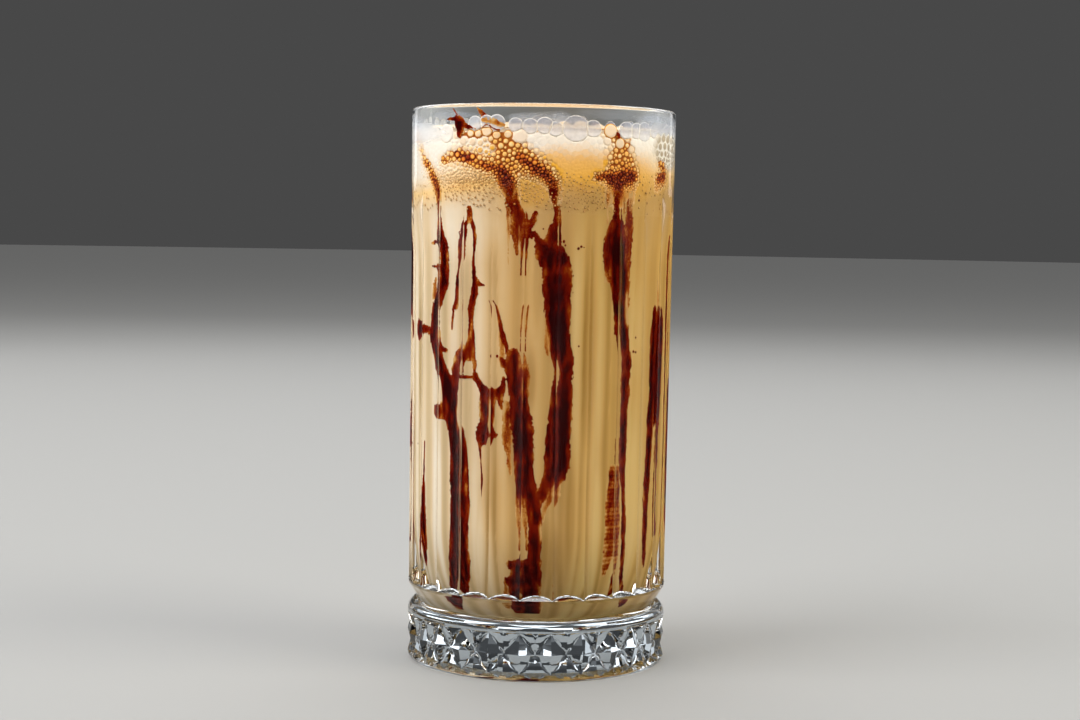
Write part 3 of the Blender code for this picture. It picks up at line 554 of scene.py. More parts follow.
class StageSettings(bpy.types.PropertyGroup):
    floor: FloatVectorProperty(
        name="Floor", description="Colour of the floor", default=(0.64, 0.64, 0.635),
        size=3, subtype="COLOR_GAMMA",
    )
    key: FloatProperty(
        name="Key light", description="Watts of the lamp at the upper left", default=22.5
    )
    fill: FloatProperty(
        name="Fill light", description="Watts of the lamp at the upper right", default=15.0
    )
    edge: FloatProperty(
        name="Edge light", description="Watts of the lamps behind", default=0.5
    )
    top: FloatProperty(
        name="Top light", description="Watts of the lamp overhead", default=16.0
    )
    back: FloatProperty(
        name="Back light", description="Watts of the lamp high up at the back", default=7.0
    )
    sky: FloatProperty(
        name="Sky", description="Strength of the even light overhead", default=0.42
    )
    horizon: FloatProperty(
        name="Horizon", description="Strength of the even light round about", default=0.065
    )


def look(name):
    return getattr(bpy.context.scene, "coffee_" + name)


def linear(colour):
    """A colour as screens show it, in the even units that shaders take."""
    return tuple(c / 12.92 if c <= 0.04045 else ((c + 0.055) / 1.055) ** 2.4 for c in colour)


def smooth_step(value, low, high):
    t = np.clip((value - low) / (high - low), 0.0, 1.0)
    return t * t * (3 - 2 * t)


def arc(centre, radii, start, end, steps):
    """Points on an elliptical arc about centre, both ends included. Angles are in degrees, 0 outwards."""
    angles = [math.radians(start + (end - start) * i / steps) for i in range(steps + 1)]
    return [(centre[0] + radii[0] * math.cos(a), centre[1] + radii[1] * math.sin(a)) for a in angles]


def straight(first, last, steps):
    """Points after first on the way to last, which is included."""
    return [
        (first[0] + (last[0] - first[0]) * i / steps, first[1] + (last[1] - first[1]) * i / steps)
        for i in range(1, steps + 1)
    ]


def inner_radius(height):
    """The radius of the glass's inside, for a number or an array."""
    share = (height - CORNER_TOP) / (HEIGHT - CORNER_TOP)
    wall = INNER_FLOOR_RADIUS + share * (INNER_RIM_RADIUS - INNER_FLOOR_RADIUS)
    drop = np.clip((CORNER_TOP - height) / CORNER_DROP, 0.0, 1.0)
    corner = INNER_FLOOR_RADIUS - CORNER_WIDTH * (1 - np.sqrt(1 - drop**2))
    return np.where(height >= CORNER_TOP, wall, corner)


def outer_radius(height):
    share = (height - BODY_BOTTOM) / (HEIGHT - BODY_BOTTOM)
    return BODY_RADIUS + share * (RIM_RADIUS - BODY_RADIUS)


def on_wall(flat, height, proud=0.0):
    """Where a point laid out flat comes on the inside of the glass. flat is its length along the wall."""
    around = flat / FLAT_RADIUS
    radius = inner_radius(height) + proud
    return np.stack([radius * np.sin(around), -radius * np.cos(around), height], axis=-1)


def grain(points, across, along, seed):
    """Smooth noise from -1 to 1 at each point, in lumps of those sizes across and up the glass."""
    size = Vector((1 / across, 1 / across, 1 / along))
    shift = Vector((seed * 7.3, seed * 3.1, seed * 5.7))
    return np.array([noise.noise(Vector(p) * size + shift) for p in points])


def read_points(mesh):
    points = np.empty(len(mesh.vertices) * 3)
    mesh.vertices.foreach_get("co", points)
    return points.reshape(-1, 3)


def write_points(mesh, points):
    mesh.vertices.foreach_set("co", np.asarray(points, dtype=float).ravel())
    mesh.update()


def around_of(points):
    return np.arctan2(points[:, 0], -points[:, 1])


def add_fields(mesh, fields):
    """Keeps a number for each point and name, for the materials to read."""
    for name, values in fields.items():
        field = mesh.attributes.new(name, "FLOAT", "POINT")
        field.data.foreach_set("value", np.asarray(values, dtype=np.float32))


def turned(name, outline, steps):
    """Draws the outline from one point by extrusion, and spins it round the Z axis."""
    bpy.ops.object.select_all(action="DESELECT")
    bpy.ops.mesh.primitive_plane_add(size=1 * MM, location=(0, 0, 0))
    piece = bpy.context.object
    piece.name = name
    piece.data.name = name
    bpy.ops.object.mode_set(mode="EDIT")
    bpy.ops.mesh.merge(type="CENTER")
    bpy.ops.transform.translate(value=(outline[0][0], 0, outline[0][1]))
    for before, after in zip(outline, outline[1:]):
        step = (after[0] - before[0], 0, after[1] - before[1])
        bpy.ops.mesh.extrude_region_move(TRANSFORM_OT_translate={"value": step})
    bpy.ops.mesh.select_all(action="SELECT")
    bpy.ops.mesh.spin(steps=steps, angle=math.tau, center=(0, 0, 0), axis=(0, 0, 1))
    bpy.ops.mesh.select_all(action="SELECT")
    bpy.ops.mesh.remove_doubles(threshold=0.001 * MM)
    bpy.ops.mesh.normals_make_consistent(inside=False)
    bpy.ops.object.mode_set(mode="OBJECT")
    return piece


def new_piece(name, points, faces):
    mesh = bpy.data.meshes.new(name)
    mesh.from_pydata([tuple(p) for p in points], [], faces)
    mesh.update()
    piece = bpy.data.objects.new(name, mesh)
    bpy.context.scene.collection.objects.link(piece)
    return piece


def finished(piece, material, nodes=(), angle=40):
    """Shades and paints the piece, hangs it from the body, and hides the parts that it stands for, if any."""
    bpy.ops.object.select_all(action="DESELECT")
    piece.select_set(True)
    bpy.context.view_layer.objects.active = piece
    bpy.ops.object.shade_smooth_by_angle(angle=math.radians(angle))
    piece.data.materials.clear()
    piece.data.materials.append(material)
    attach(piece, BODY)
    if nodes:
        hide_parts(*nodes)


class Shader:
    """A material's node tree, written from its Principled shader outwards."""

    def __init__(self, name):
        self.material = bpy.data.materials.new(name)
        self.material.use_nodes = True
        self.tree = self.material.node_tree
        self.surface = self.tree.nodes["Principled BSDF"]
        self.output = self.tree.nodes["Material Output"]

    def node(self, kind, **values):
        made = self.tree.nodes.new(kind)
        for key, value in values.items():
            setattr(made, key, value)
        return made

    def link(self, source, target):
        self.tree.links.new(source, target)

    def set(self, **values):
        for key, value in values.items():
            self.surface.inputs[key.replace("_", " ")].default_value = value

    def place(self):
        return self.node("ShaderNodeTexCoord").outputs["Object"]

    def field(self, name):
        return self.node("ShaderNodeAttribute", attribute_name=name).outputs["Fac"]

    def noise(self, scale, stretch=(1, 1, 1), detail=4.0, roughness=0.55):
        """Noise of that many lumps to the metre, stretched along each axis."""
        mapping = self.node("ShaderNodeMapping")
        mapping.inputs["Scale"].default_value = tuple(scale / s for s in stretch)
        self.link(self.place(), mapping.inputs["Vector"])
        made = self.node("ShaderNodeTexNoise")
        made.inputs["Scale"].default_value = 1.0
        made.inputs["Detail"].default_value = detail
        made.inputs["Roughness"].default_value = roughness
        self.link(mapping.outputs["Vector"], made.inputs["Vector"])
        return made.outputs["Fac"]

    def sum(self, first, second, share):
        """first + (second - 0.5) * share"""
        centred = self.node("ShaderNodeMath", operation="SUBTRACT")
        self.link(second, centred.inputs[0])
        centred.inputs[1].default_value = 0.5
        added = self.node("ShaderNodeMath", operation="MULTIPLY_ADD")
        self.link(centred.outputs[0], added.inputs[0])
        if isinstance(share, bpy.types.NodeSocket):
            self.link(share, added.inputs[1])
        else:
            added.inputs[1].default_value = share
        self.link(first, added.inputs[2])
        return added.outputs[0]

    def ramp(self, value, stops, shown=True):
        """Colours over a value, as screens show them unless shown is False."""
        made = self.node("ShaderNodeValToRGB")
        elements = made.color_ramp.elements
        while len(elements) < len(stops):
            elements.new(0.5)
        for element, (position, colour) in zip(elements, stops):
            element.position = position
            element.color = (*(linear(colour) if shown else colour), 1.0)
        self.link(value, made.inputs["Fac"])
        return made.outputs["Color"]

    def mix(self, share, first, second, blend="MIX"):
        """Colours or colour sockets, mixed by a socket or a number."""
        made = self.node("ShaderNodeMix", data_type="RGBA", blend_type=blend)
        for source, target in ((share, made.inputs[0]), (first, made.inputs[6]), (second, made.inputs[7])):
            if isinstance(source, bpy.types.NodeSocket):
                self.link(source, target)
            elif isinstance(source, tuple):
                target.default_value = (*source, 1.0)
            else:
                target.default_value = source
        return made.outputs[2]

    def range(self, value, low, high, to_low=0.0, to_high=1.0):
        made = self.node("ShaderNodeMapRange")
        self.link(value, made.inputs["Value"])
        for key, number in (("From Min", low), ("From Max", high), ("To Min", to_low), ("To Max", to_high)):
            made.inputs[key].default_value = number
        return made.outputs[0]

    def height(self):
        split = self.node("ShaderNodeSeparateXYZ")
        self.link(self.place(), split.inputs[0])
        return split.outputs["Z"]

    def bump(self, value, strength, distance):
        made = self.node("ShaderNodeBump")
        made.inputs["Strength"].default_value = strength
        made.inputs["Distance"].default_value = distance
        self.link(value, made.inputs["Height"])
        self.link(made.outputs[0], self.surface.inputs["Normal"])

    def lets_lamps_through(self):
        """Lamps light what is behind the glass straight through it."""
        path = self.node("ShaderNodeLightPath")
        clear = self.node("ShaderNodeBsdfTransparent")
        both = self.node("ShaderNodeMixShader")
        self.link(path.outputs["Is Shadow Ray"], both.inputs[0])
        self.link(self.surface.outputs[0], both.inputs[1])
        self.link(clear.outputs[0], both.inputs[2])
        self.link(both.outputs[0], self.output.inputs["Surface"])


def pressed_glass():
    """Clear glass, with painted shade that darkens the foot to grey-blue, and a painted reflection of the
    drink that warms the rim's front.
    """
    settings = look("glass")
    shader = Shader("pressed_glass")
    shader.set(Roughness=0.0, IOR=1.5, Transmission_Weight=1.0, Specular_Tint=(0.07, 0.07, 0.07, 1.0))
    above_foot = shader.range(shader.height(), 15.5 * MM, 19.5 * MM)
    # Painted shade darkens the foot
    tint = shader.mix(above_foot, tuple(settings.foot_shade_tint), tuple(settings.tint))
    # Painted reflection of the drink warms the rim's front
    tint = shader.mix(shader.field("rim_painted_reflection"), tint, tuple(settings.rim_reflection_tint))
    shader.link(tint, shader.surface.inputs["Base Color"])
    shader.bump(shader.noise(160, detail=1.0), 0.12, 0.15 * MM)
    shader.lets_lamps_through()
    return shader.material


def coffee_colour(shader):
    """Pale coffee with milk still turning in it in upright streaks, paler on the left from painted side
    light, and banded by painted light and shade from the flutes.
    """
    colours = look("drink")
    swirl = shader.sum(shader.noise(60, (1, 1, 5)), shader.noise(300, (1, 1, 12)), 0.35)
    # The milk and side light field mixes the coffee's milk with painted light that pales its left side
    milk_and_side_light = shader.sum(shader.field("milk_and_side_light"), swirl, 0.5)
    base = shader.ramp(milk_and_side_light, [(0.0, colours.tan), (0.35, colours.beige), (1.0, colours.cream)])
    band = shader.sum(shader.field("band"), shader.noise(900, (1, 1, 60), detail=2.0), 0.3)
    shades = [(0.0, (0.60, 0.53, 0.36)), (0.5, (0.98, 0.965, 0.92)), (1.0, (1.16, 1.30, 1.55))]
    light = shader.ramp(shader.range(band, -1.2, 1.2), shades, shown=False)
    return shader.mix(1.0, base, light, blend="MULTIPLY")


def milk_coffee():
    """A liquid that mirrors nothing of its own, since the glass in front of it does."""
    shader = Shader("milk_coffee")
    shader.set(Roughness=0.5, Specular_IOR_Level=0.0)
    shader.link(coffee_colour(shader), shader.surface.inputs["Base Color"])
    return shader.material


def chocolate_sauce():
    """Sauce against the glass: near black where it is thick, red-brown and then amber where it thins."""
    colours = look("sauce")
    shader = Shader("chocolate_sauce")
    shader.set(Roughness=0.35, Specular_IOR_Level=0.0)
    thickness = shader.field("depth")
    coarse = shader.noise(420, (1, 1, 1.7), detail=5.0, roughness=0.65)
    fine = shader.noise(2200, (1, 1, 0.8), detail=4.0, roughness=0.6)
    mottling = shader.sum(coarse, fine, 0.6)
    depth = shader.sum(thickness, mottling, shader.range(thickness, 0.0, 0.4, 0.15, 1.3))
    stops = [
        (0.0, (0.81, 0.65, 0.42)),
        (0.12, colours.amber),
        (0.25, (0.58, 0.28, 0.06)),
        (0.40, (0.46, 0.12, 0.015)),
        (0.62, colours.red),
        (0.84, (0.25, 0.018, 0.01)),
        (1.0, colours.dark),
    ]
    shader.link(shader.ramp(depth, stops), shader.surface.inputs["Base Color"])
    return shader.material


def foam_colour(shader):
    """Coffee that pales into foam, tinted by sauce that gathers in the grooves between its bubbles, and
    darker on the foam's top as painted shade.
    """
    colours = look("foam")
    golden = linear((0.96, 0.81, 0.55))
    shadow = linear((0.93, 0.90, 0.85))
    netting = linear((0.76, 0.70, 0.60))
    net_edge = linear((1.0, 0.99, 0.96))
    top_groove = linear((0.68, 0.54, 0.37))
    rims = [
        (0.0, (0.48, 0.32, 0.12)),
        (0.5, (0.66, 0.47, 0.20)),
        (0.85, (0.92, 0.83, 0.66)),
        (1.0, (0.97, 0.93, 0.86)),
    ]
    centre = [
        (0.1, (1.0, 0.96, 0.88)),
        (0.3, (0.99, 0.86, 0.60)),
        (0.5, (0.98, 0.72, 0.32)),
        (0.7, (0.90, 0.50, 0.16)),
        (0.95, (0.56, 0.19, 0.07)),
    ]
    ring = [
        (0.1, (0.95, 0.82, 0.58)),
        (0.4, (0.95, 0.69, 0.26)),
        (0.7, (0.74, 0.34, 0.08)),
        (0.95, (0.46, 0.12, 0.03)),
    ]
    pooled = [
        (0.1, (0.92, 0.74, 0.46)),
        (0.3, (0.72, 0.42, 0.14)),
        (0.5, (0.54, 0.22, 0.03)),
        (0.7, (0.40, 0.10, 0.01)),
        (0.95, (0.25, 0.01, 0.01)),
    ]
    fine = shader.noise(1500, detail=3.0)
    froth = shader.sum(shader.field("froth"), fine, 0.12)
    base = shader.mix(shader.range(froth, 0.0, 0.45), coffee_colour(shader), golden)
    # Painted shade: the foam's white is dimmed to the shadow colour by the field that pales the coffee's left
    # side
    white = shader.mix(shader.field("milk_and_side_light"), linear(colours.white), shadow)
    base = shader.mix(shader.range(froth, 0.4, 1.0), base, white)
    base = shader.mix(shader.field("warm"), base, linear(colours.warm))
    net = shader.field("net")
    base = shader.mix(net, base, netting)
    groove = shader.field("groove")
    edge = shader.mix(net, shader.ramp(froth, rims), net_edge)
    shaded = shader.mix(shader.range(groove, 0.45, 0.95, 0.0, 0.8), base, edge)
    stain = shader.sum(shader.field("stain"), shader.noise(420, detail=2.0), 0.3)
    stain = shader.sum(stain, fine, 0.15)
    ringed = shader.range(groove, 0.1, 0.8, 0.0, 0.75)
    rounded = shader.mix(ringed, shader.ramp(stain, centre), shader.ramp(stain, ring))
    sauced = shader.mix(shader.range(groove, 0.6, 0.93), rounded, shader.ramp(stain, pooled))
    side = shader.mix(shader.range(stain, 0.1, 0.3), shaded, sauced)
    # Painted shade on the foam's top: a darker copy of the foam, with its grooves darker still
    top = shader.mix(shader.range(groove, 0.4, 1.0, 0.0, 0.7), linear(colours.top), top_groove)
    return shader.mix(shader.field("top"), side, top)


def milk_foam():
    """Wet foam."""
    shader = Shader("milk_foam")
    shader.set(Roughness=0.45, Specular_IOR_Level=0.1)
    shader.link(foam_colour(shader), shader.surface.inputs["Base Color"])
    return shader.material


def bubble_film():
    """The skin of the clear bubbles: white where two of them meet, and a clear grey between."""
    shader = Shader("bubble_film")
    shader.set(Roughness=0.3, Specular_IOR_Level=0.4)
    groove, milk_and_side_light = shader.field("groove"), shader.field("milk_and_side_light")
    stained = shader.range(shader.field("stain"), 0.15, 0.6)
    seam = shader.mix(stained, linear((0.99, 0.97, 0.93)), linear((0.75, 0.40, 0.14)))
    skin = shader.mix(stained, linear((0.70, 0.71, 0.76)), linear((0.78, 0.55, 0.32)))
    whiter = shader.range(shader.height(), FILM_CLEAR_FROM, FILM_WHITE_BELOW)
    skin = shader.mix(whiter, skin, linear((0.93, 0.92, 0.92)))
    # Painted light: the clear skins are paler and milkier where the same field pales the coffee's left side
    skin = shader.mix(shader.range(milk_and_side_light, 0.3, 0.9), skin, linear((0.90, 0.91, 0.92)))
    shader.link(shader.mix(groove, skin, seam), shader.surface.inputs["Base Color"])
    low = shader.range(shader.height(), FILM_CLEAR_FROM, FILM_WHITE_BELOW, 0.52, 0.95)
    milky = shader.sum(low, shader.range(milk_and_side_light, 0.0, 1.0, 0.45, 0.8), 0.6)
    milky = shader.sum(milky, shader.noise(700, detail=4.0), 0.6)
    cover = shader.node("ShaderNodeMath", operation="MAXIMUM")
    shader.link(milky, cover.inputs[0])
    shader.link(groove, cover.inputs[1])
    shader.link(cover.outputs[0], shader.surface.inputs["Alpha"])
    return shader.material


def foam_haze():
    """Skins of dried foam, whiter lower down."""
    shader = Shader("foam_haze")
    shader.set(Roughness=0.4, Specular_IOR_Level=0.3)
    lower = shader.range(shader.height(), HAZE_CLEAR_FROM, HAZE_WHITE_BELOW)
    skin = shader.mix(lower, linear((0.68, 0.71, 0.76)), linear((0.95, 0.95, 0.96)))
    shader.link(skin, shader.surface.inputs["Base Color"])
    patchy = shader.noise(260, (1, 1, 0.3), detail=6.0, roughness=0.65)
    cover = shader.sum(shader.range(shader.field("share"), 0.05, 0.95, 0.0, 0.8), patchy, 0.4)
    shader.link(cover, shader.surface.inputs["Alpha"])
    return shader.material


def dense(run, steps=6):
    """A run's stations as a smooth line: an array of flat place, height and half width, in metres."""
    stations = np.array(run, dtype=float)
    stations[:, 0] = np.radians(stations[:, 0]) * FLAT_RADIUS
    stations[:, 1:] *= (MM, MM / 2)
    padded = np.vstack([2 * stations[0] - stations[1], stations, 2 * stations[-1] - stations[-2]])
    line = []
    for a, b, c, d in zip(padded, padded[1:], padded[2:], padded[3:]):
        for t in np.arange(steps) / steps:
            curve = 2 * b + (c - a) * t
            curve = curve + (2 * a - 5 * b + 4 * c - d) * t**2 + (3 * b - a - 3 * c + d) * t**3
            line.append(curve / 2)
    line.append(stations[-1])
    return np.array(line)


def nearest_run(flat, height, runs):
    """How far each point lies outside the runs, under 0 inside them, and half the nearest one's width."""
    nearest, half = np.full(flat.shape, 1.0), np.zeros(flat.shape)
    for run in runs:
        line = dense(run)
        for (u0, z0, w0), (u1, z1, w1) in zip(line, line[1:]):
            du, dz = u1 - u0, z1 - z0
            t = np.clip(((flat - u0) * du + (height - z0) * dz) / (du * du + dz * dz), 0, 1)
            width = w0 + t * (w1 - w0)
            gap = np.hypot(flat - u0 - t * du, height - z0 - t * dz) - width
            half = np.where(gap < nearest, width, half)
            nearest = np.minimum(nearest, gap)
    return nearest, half


def outside_by(flat, height, runs):
    return nearest_run(flat, height, runs)[0]


def in_patches(flat, height, patches):
    """1 at the middle of a patch, or the strength that ends it, fading to 0 at its edge."""
    share = np.zeros(flat.shape)
    for angle, middle, half_width, half_height, *strength in patches:
        across = np.remainder(flat / FLAT_RADIUS - math.radians(angle) + math.pi, math.tau) - math.pi
        sideways = across * FLAT_RADIUS / (half_width * MM)
        reach = np.hypot(sideways, (height - middle * MM) / (half_height * MM))
        share = np.maximum(share, (1 - smooth_step(reach, 0.25, 1.0)) * (strength or [1.0])[0])
    return share


def cut_sheet(field):
    """The part of a grid where field is under 0, as places in the grid and faces that end on its outline."""
    points, faces, made = [], [], {}

    def corner(i, j):
        if (i, j) not in made:
            made[i, j] = len(points)
            points.append((i, j))
        return made[i, j]

    def crossing(a, b):
        key = (a, b) if a < b else (b, a)
        if key not in made:
            low, high = field[key[0]], field[key[1]]
            t = low / (low - high)
            (i, j), (k, m) = key
            made[key] = len(points)
            points.append((i + t * (k - i), j + t * (m - j)))
        return made[key]

    inside = field < 0
    busy = inside[:-1, :-1] | inside[1:, :-1] | inside[1:, 1:] | inside[:-1, 1:]
    for i, j in np.argwhere(busy):
        ring = [(i, j), (i + 1, j), (i + 1, j + 1), (i, j + 1)]
        face = []
        for here, there in zip(ring, ring[1:] + ring[:1]):
            if inside[here]:
                face.append(corner(*here))
            if inside[here] != inside[there]:
                face.append(crossing(here, there))
        if len(face) > 2:
            faces.append(face)
    return np.array(points, dtype=float), faces


def at_places(values, places):
    """The values of a grid at places between its points."""
    low = np.minimum(np.floor(places).astype(int), np.array(values.shape) - 2)
    i, j = low.T
    a, b = (places - low).T
    lower = values[i, j] * (1 - a) + values[i + 1, j] * a
    upper = values[i, j + 1] * (1 - a) + values[i + 1, j + 1] * a
    return lower * (1 - b) + upper * b


def glass_outline():
    corner_centre = (INNER_FLOOR_RADIUS - CORNER_WIDTH, CORNER_TOP)
    rim_centre = (RIM_RADIUS - RIM_WALL / 2, HEIGHT - RIM_WALL / 2)
    shoulder = (3.2 * MM, 3.4 * MM)
    points = [(0.0, FLOOR_HEIGHT)]
    points += arc(corner_centre, (CORNER_WIDTH, CORNER_DROP), -90, 0, 18)
    points += straight(points[-1], (INNER_RIM_RADIUS, rim_centre[1]), 6)[:-1]
    points += arc(rim_centre, (RIM_WALL / 2, RIM_WALL / 2), 180, 0, 14)
    heights = list(np.linspace(FLUTE_FADE_TOP, FLUTE_FADE_START, 16))
    heights += list(np.linspace(FLUTE_FADE_START, 24 * MM, 5))[1:]
    heights += list(np.linspace(23.8 * MM, FLUTE_FOOT, 15))
    points += [(float(outer_radius(h)), float(h)) for h in heights]
    points += arc((BODY_RADIUS - 0.4 * MM, BODY_BOTTOM), (0.4 * MM, 0.4 * MM), 0, -50, 4)
    points += straight(points[-1], (WAIST_RADIUS + 0.1 * MM, WAIST_HEIGHT + 0.15 * MM), 4)
    points += arc((FOOT_RADIUS - shoulder[0], DIAMOND_TOP + 0.35 * MM), shoulder, 84, 0, 12)
    points += straight((FOOT_RADIUS, DIAMOND_TOP + 0.1 * MM), (FOOT_RADIUS, DIAMOND_TOP), 1)
    points += straight(points[-1], (FOOT_RADIUS, DIAMOND_BOTTOM), 16)
    points += arc((STANDING_RADIUS, 1.6 * MM), (1.7 * MM, 1.6 * MM), -10, -90, 6)
    points += [(RECESS_RADIUS + RECESS_DEPTH, 0.0), (RECESS_RADIUS, RECESS_DEPTH), (0.0, RECESS_DEPTH)]
    return points


def flute_depth(around, height):
    """Round-bottomed flutes with softened ridges, that fade out upwards and end below in a sloping shelf."""
    settings = look("glass")
    across = np.remainder(around * settings.flutes / math.tau + 0.5, 1.0) - 0.5
    half_width = math.pi * BODY_RADIUS / settings.flutes
    curve = (half_width**2 + settings.flute_depth**2) / (2 * settings.flute_depth)
    hollow = np.sqrt(curve**2 - (2 * across * half_width) ** 2) - (curve - settings.flute_depth)
    full = np.sqrt(hollow**2 + RIDGE_SOFTNESS**2)
    faded = full * (1 - smooth_step(height, FLUTE_FADE_START, FLUTE_FADE_TOP))
    return np.clip(np.minimum(faded, (height - FLUTE_FOOT) / SHELF_SLOPE), 0, None)


def gathered(around):
    """Draws the rows of points closer together at the ridges between the flutes."""
    pitch = math.tau / look("glass").flutes
    across = np.remainder(around / pitch, 1.0) - 0.5
    pull = across - 0.55 * np.sin(math.tau * across) / math.tau
    return around + (pull - across) * pitch


def diamond_depth(around, height):
    """Grooves that cross at the band's middle, with flat facets rising from them to a point between."""
    settings = look("glass")
    across = np.remainder(around * settings.flutes / math.tau, 1.0)
    side = 1 - np.abs(1 - 2 * across)
    up = np.abs(2 * (height - DIAMOND_BOTTOM) / (DIAMOND_TOP - DIAMOND_BOTTOM) - 1)
    return settings.diamond_depth * (1 - np.abs(side - up))


def coffee_fields(points):
    """How pale the coffee is round the glass, from its milk and from painted light that is stronger on the
    left, and the bands of painted light and shade that the flutes gather on it.
    """
    around = around_of(points)
    flutes = look("glass").flutes
    turn = around * flutes / math.tau
    which = np.floor(turn + 0.5).astype(int) % flutes
    across = np.remainder(turn + 0.5, 1.0) - 0.5
    draw = np.random.RandomState(LIGHT_SEED)
    shift, strength = draw.uniform(-0.3, 0.3, flutes)[which], draw.uniform(0.35, 1.0, flutes)[which]
    fade = 1 - smooth_step(points[:, 2], FLUTE_FADE_START - 6 * MM, FLUTE_FADE_TOP)
    band = 0.8 * np.cos(math.tau * (across - shift)) * strength * fade
    flat = around * FLAT_RADIUS
    band += in_patches(flat, points[:, 2], LIT_PATCHES) - in_patches(flat, points[:, 2], SHADED_PATCHES)
    # Painted light as well as milk: the coffee is paler towards the left
    milk_and_side_light = (0.5 + 0.5 * np.cos(around + math.radians(80))) ** 2.5
    return {"band": band, "milk_and_side_light": milk_and_side_light}


def foam_fields(points, stained=True):
    """How the foam differs from coffee at each point, and how far the sauce stains and warms it."""
    fields = coffee_fields(points)
    flat, height = around_of(points) * FLAT_RADIUS, points[:, 2]
    # The froth starts lower where the coffee's painted side light is strongest
    later = 1 - fields["milk_and_side_light"]
    fields["froth"] = smooth_step(height, (123 + 4 * later) * MM, (135 + 9 * later) * MM)
    out = np.hypot(points[:, 0], points[:, 1])
    inner = out < INNER_FOAM
    fields["net"] = smooth_step(in_patches(flat, height, NET_PATCHES), 0.1, 0.6) * ~inner
    # Where the foam's top is, which the foam material darkens as painted shade
    fields["top"] = 1 - smooth_step(out, *SIDE_FADE)
    if not stained:
        return fields
    turn = math.tau * FLAT_RADIUS
    shifted = np.where(flat < math.radians(-85) * FLAT_RADIUS, flat + turn, flat)
    tinted = np.where(inner, 9 * MM, outside_by(shifted, height, STAIN_RUNS))
    pooled = np.where(inner, 9 * MM, outside_by(shifted, height, POOLED_RUNS))
    stain = 0.42 * (1 - smooth_step(tinted, -1.6 * MM, 1.8 * MM))
    stain += 0.5 * (1 - smooth_step(pooled, -0.8 * MM, 1.1 * MM))
    fields["stain"] = stain * smooth_step(height, *STAIN_FADE)
    warm = in_patches(flat, height, WARM_PATCHES)
    halo = 0.4 * (1 - smooth_step(tinted, 0.0, 2 * MM)) * smooth_step(height, *HALO_FADE)
    fields["warm"] = np.clip(0.9 * warm + halo, 0, 1)
    return fields


def cells(us, zs, bubbles):
    """Shares a grid out between bubbles that meet in flat walls.

    It gives the bubble that each point belongs to, a measure of how far the point is outside them all, which
    is less than 0 inside, and how far it is inside the walls of its own.
    """
    turn = math.tau * FLAT_RADIUS
    shape = (len(us), len(zs))
    owner, outside = np.zeros(shape, dtype=int), np.full(shape, 1.0)
    windows = []
    for index, (u, z, r) in enumerate(bubbles):
        reach = 1.6 * r + 0.5 * MM
        for middle in (u - turn, u, u + turn):
            across = slice(*np.searchsorted(us, (middle - reach, middle + reach)))
            along = slice(*np.searchsorted(zs, (z - reach, z + reach)))
            power = (us[across, None] - middle) ** 2 + (zs[None, along] - z) ** 2 - r**2
            if power.size:
                windows.append((index, across, along, power))
                owner[across, along] = np.where(power < outside[across, along], index, owner[across, along])
                outside[across, along] = np.minimum(outside[across, along], power)
    size = bubbles[owner, 2]
    edge = 1.02 * size - np.sqrt(np.clip(outside + size**2, 0, None))
    for index, across, along, power in windows:
        mine = owner[across, along]
        gap = bubbles[mine] - bubbles[index]
        apart = np.hypot(np.remainder(gap[..., 0] + turn / 2, turn) - turn / 2, gap[..., 1])
        wall = (power - outside[across, along]) / (2 * np.maximum(apart, 0.01 * MM))
        edge[across, along] = np.minimum(edge[across, along], np.where(mine == index, 1.0, wall))
    return owner, outside, edge


def renumbered(faces):
    """The points that the faces use, and the faces by those points' new numbers."""
    used = sorted({corner for face in faces for corner in face})
    places = {corner: index for index, corner in enumerate(used)}
    return used, [[places[corner] for corner in face] for face in faces]


def laid_flat(bubbles, scale):
    """Bubbles given by angle, height and radius, as lengths on the wall laid out flat."""
    return [(math.radians(a) % math.tau * FLAT_RADIUS, z * MM, r * MM * scale) for a, z, r in bubbles]


def wall_frames(bubbles, proud=WETTING):
    """The middle of each bubble on the wall, its three directions, and its radius."""
    flat, height, radius = np.array(bubbles).T
    around = flat / FLAT_RADIUS
    zero = np.zeros(len(around))
    out = np.stack([np.sin(around), -np.cos(around), zero], 1)
    side = np.stack([np.cos(around), np.sin(around), zero], 1)
    up = np.stack([zero, zero, zero + 1], 1)
    return (on_wall(flat, height, proud), side, up, out), radius


def foamed(made, foam, least=0.0):
    """Paints bubbles as foam, stained at least that much."""
    piece, middle, groove = made
    fields = foam_fields(middle)
    fields["stain"] = np.maximum(fields["stain"], least)
    fields["groove"] = groove
    add_fields(piece.data, fields)
    finished(piece, foam, angle=80)


def capped(name, frames, radius, sides, rings):
    """Bubbles as caps of a few rings, each a width and height as shares of the radius, and a groove."""
    middle, side, up, out = frames
    turns = np.arange(sides) / sides * math.tau
    shape = [(w * math.cos(t), w * math.sin(t), h, g) for w, h, g in rings[:-1] for t in turns]
    shape += [(0, 0, rings[-1][1], rings[-1][2]), (0, 0, rings[0][1] - 0.2, 1.0)]
    shape = np.array(shape)
    faces = []
    last = len(rings) - 2
    tip, back = len(shape) - 2, len(shape) - 1
    for i in range(sides):
        j = (i + 1) % sides
        for k in range(last):
            low, high = k * sides, (k + 1) * sides
            faces += [(low + i, low + j, high + j), (low + i, high + j, high + i)]
        faces += [(last * sides + i, last * sides + j, tip), (j, i, back)]
    across, along, high = (shape[None, :, axis, None] for axis in range(3))
    spread = across * side[:, None] + along * up[:, None] + high * out[:, None]
    points = (middle[:, None] + spread * radius[:, None, None]).reshape(-1, 3)
    corners = np.array(faces)[None] + (np.arange(len(radius)) * len(shape))[:, None, None]
    piece = new_piece(name, points, corners.reshape(-1, 3).tolist())
    return piece, np.repeat(middle, len(shape), axis=0), np.tile(shape[:, 3], len(radius))


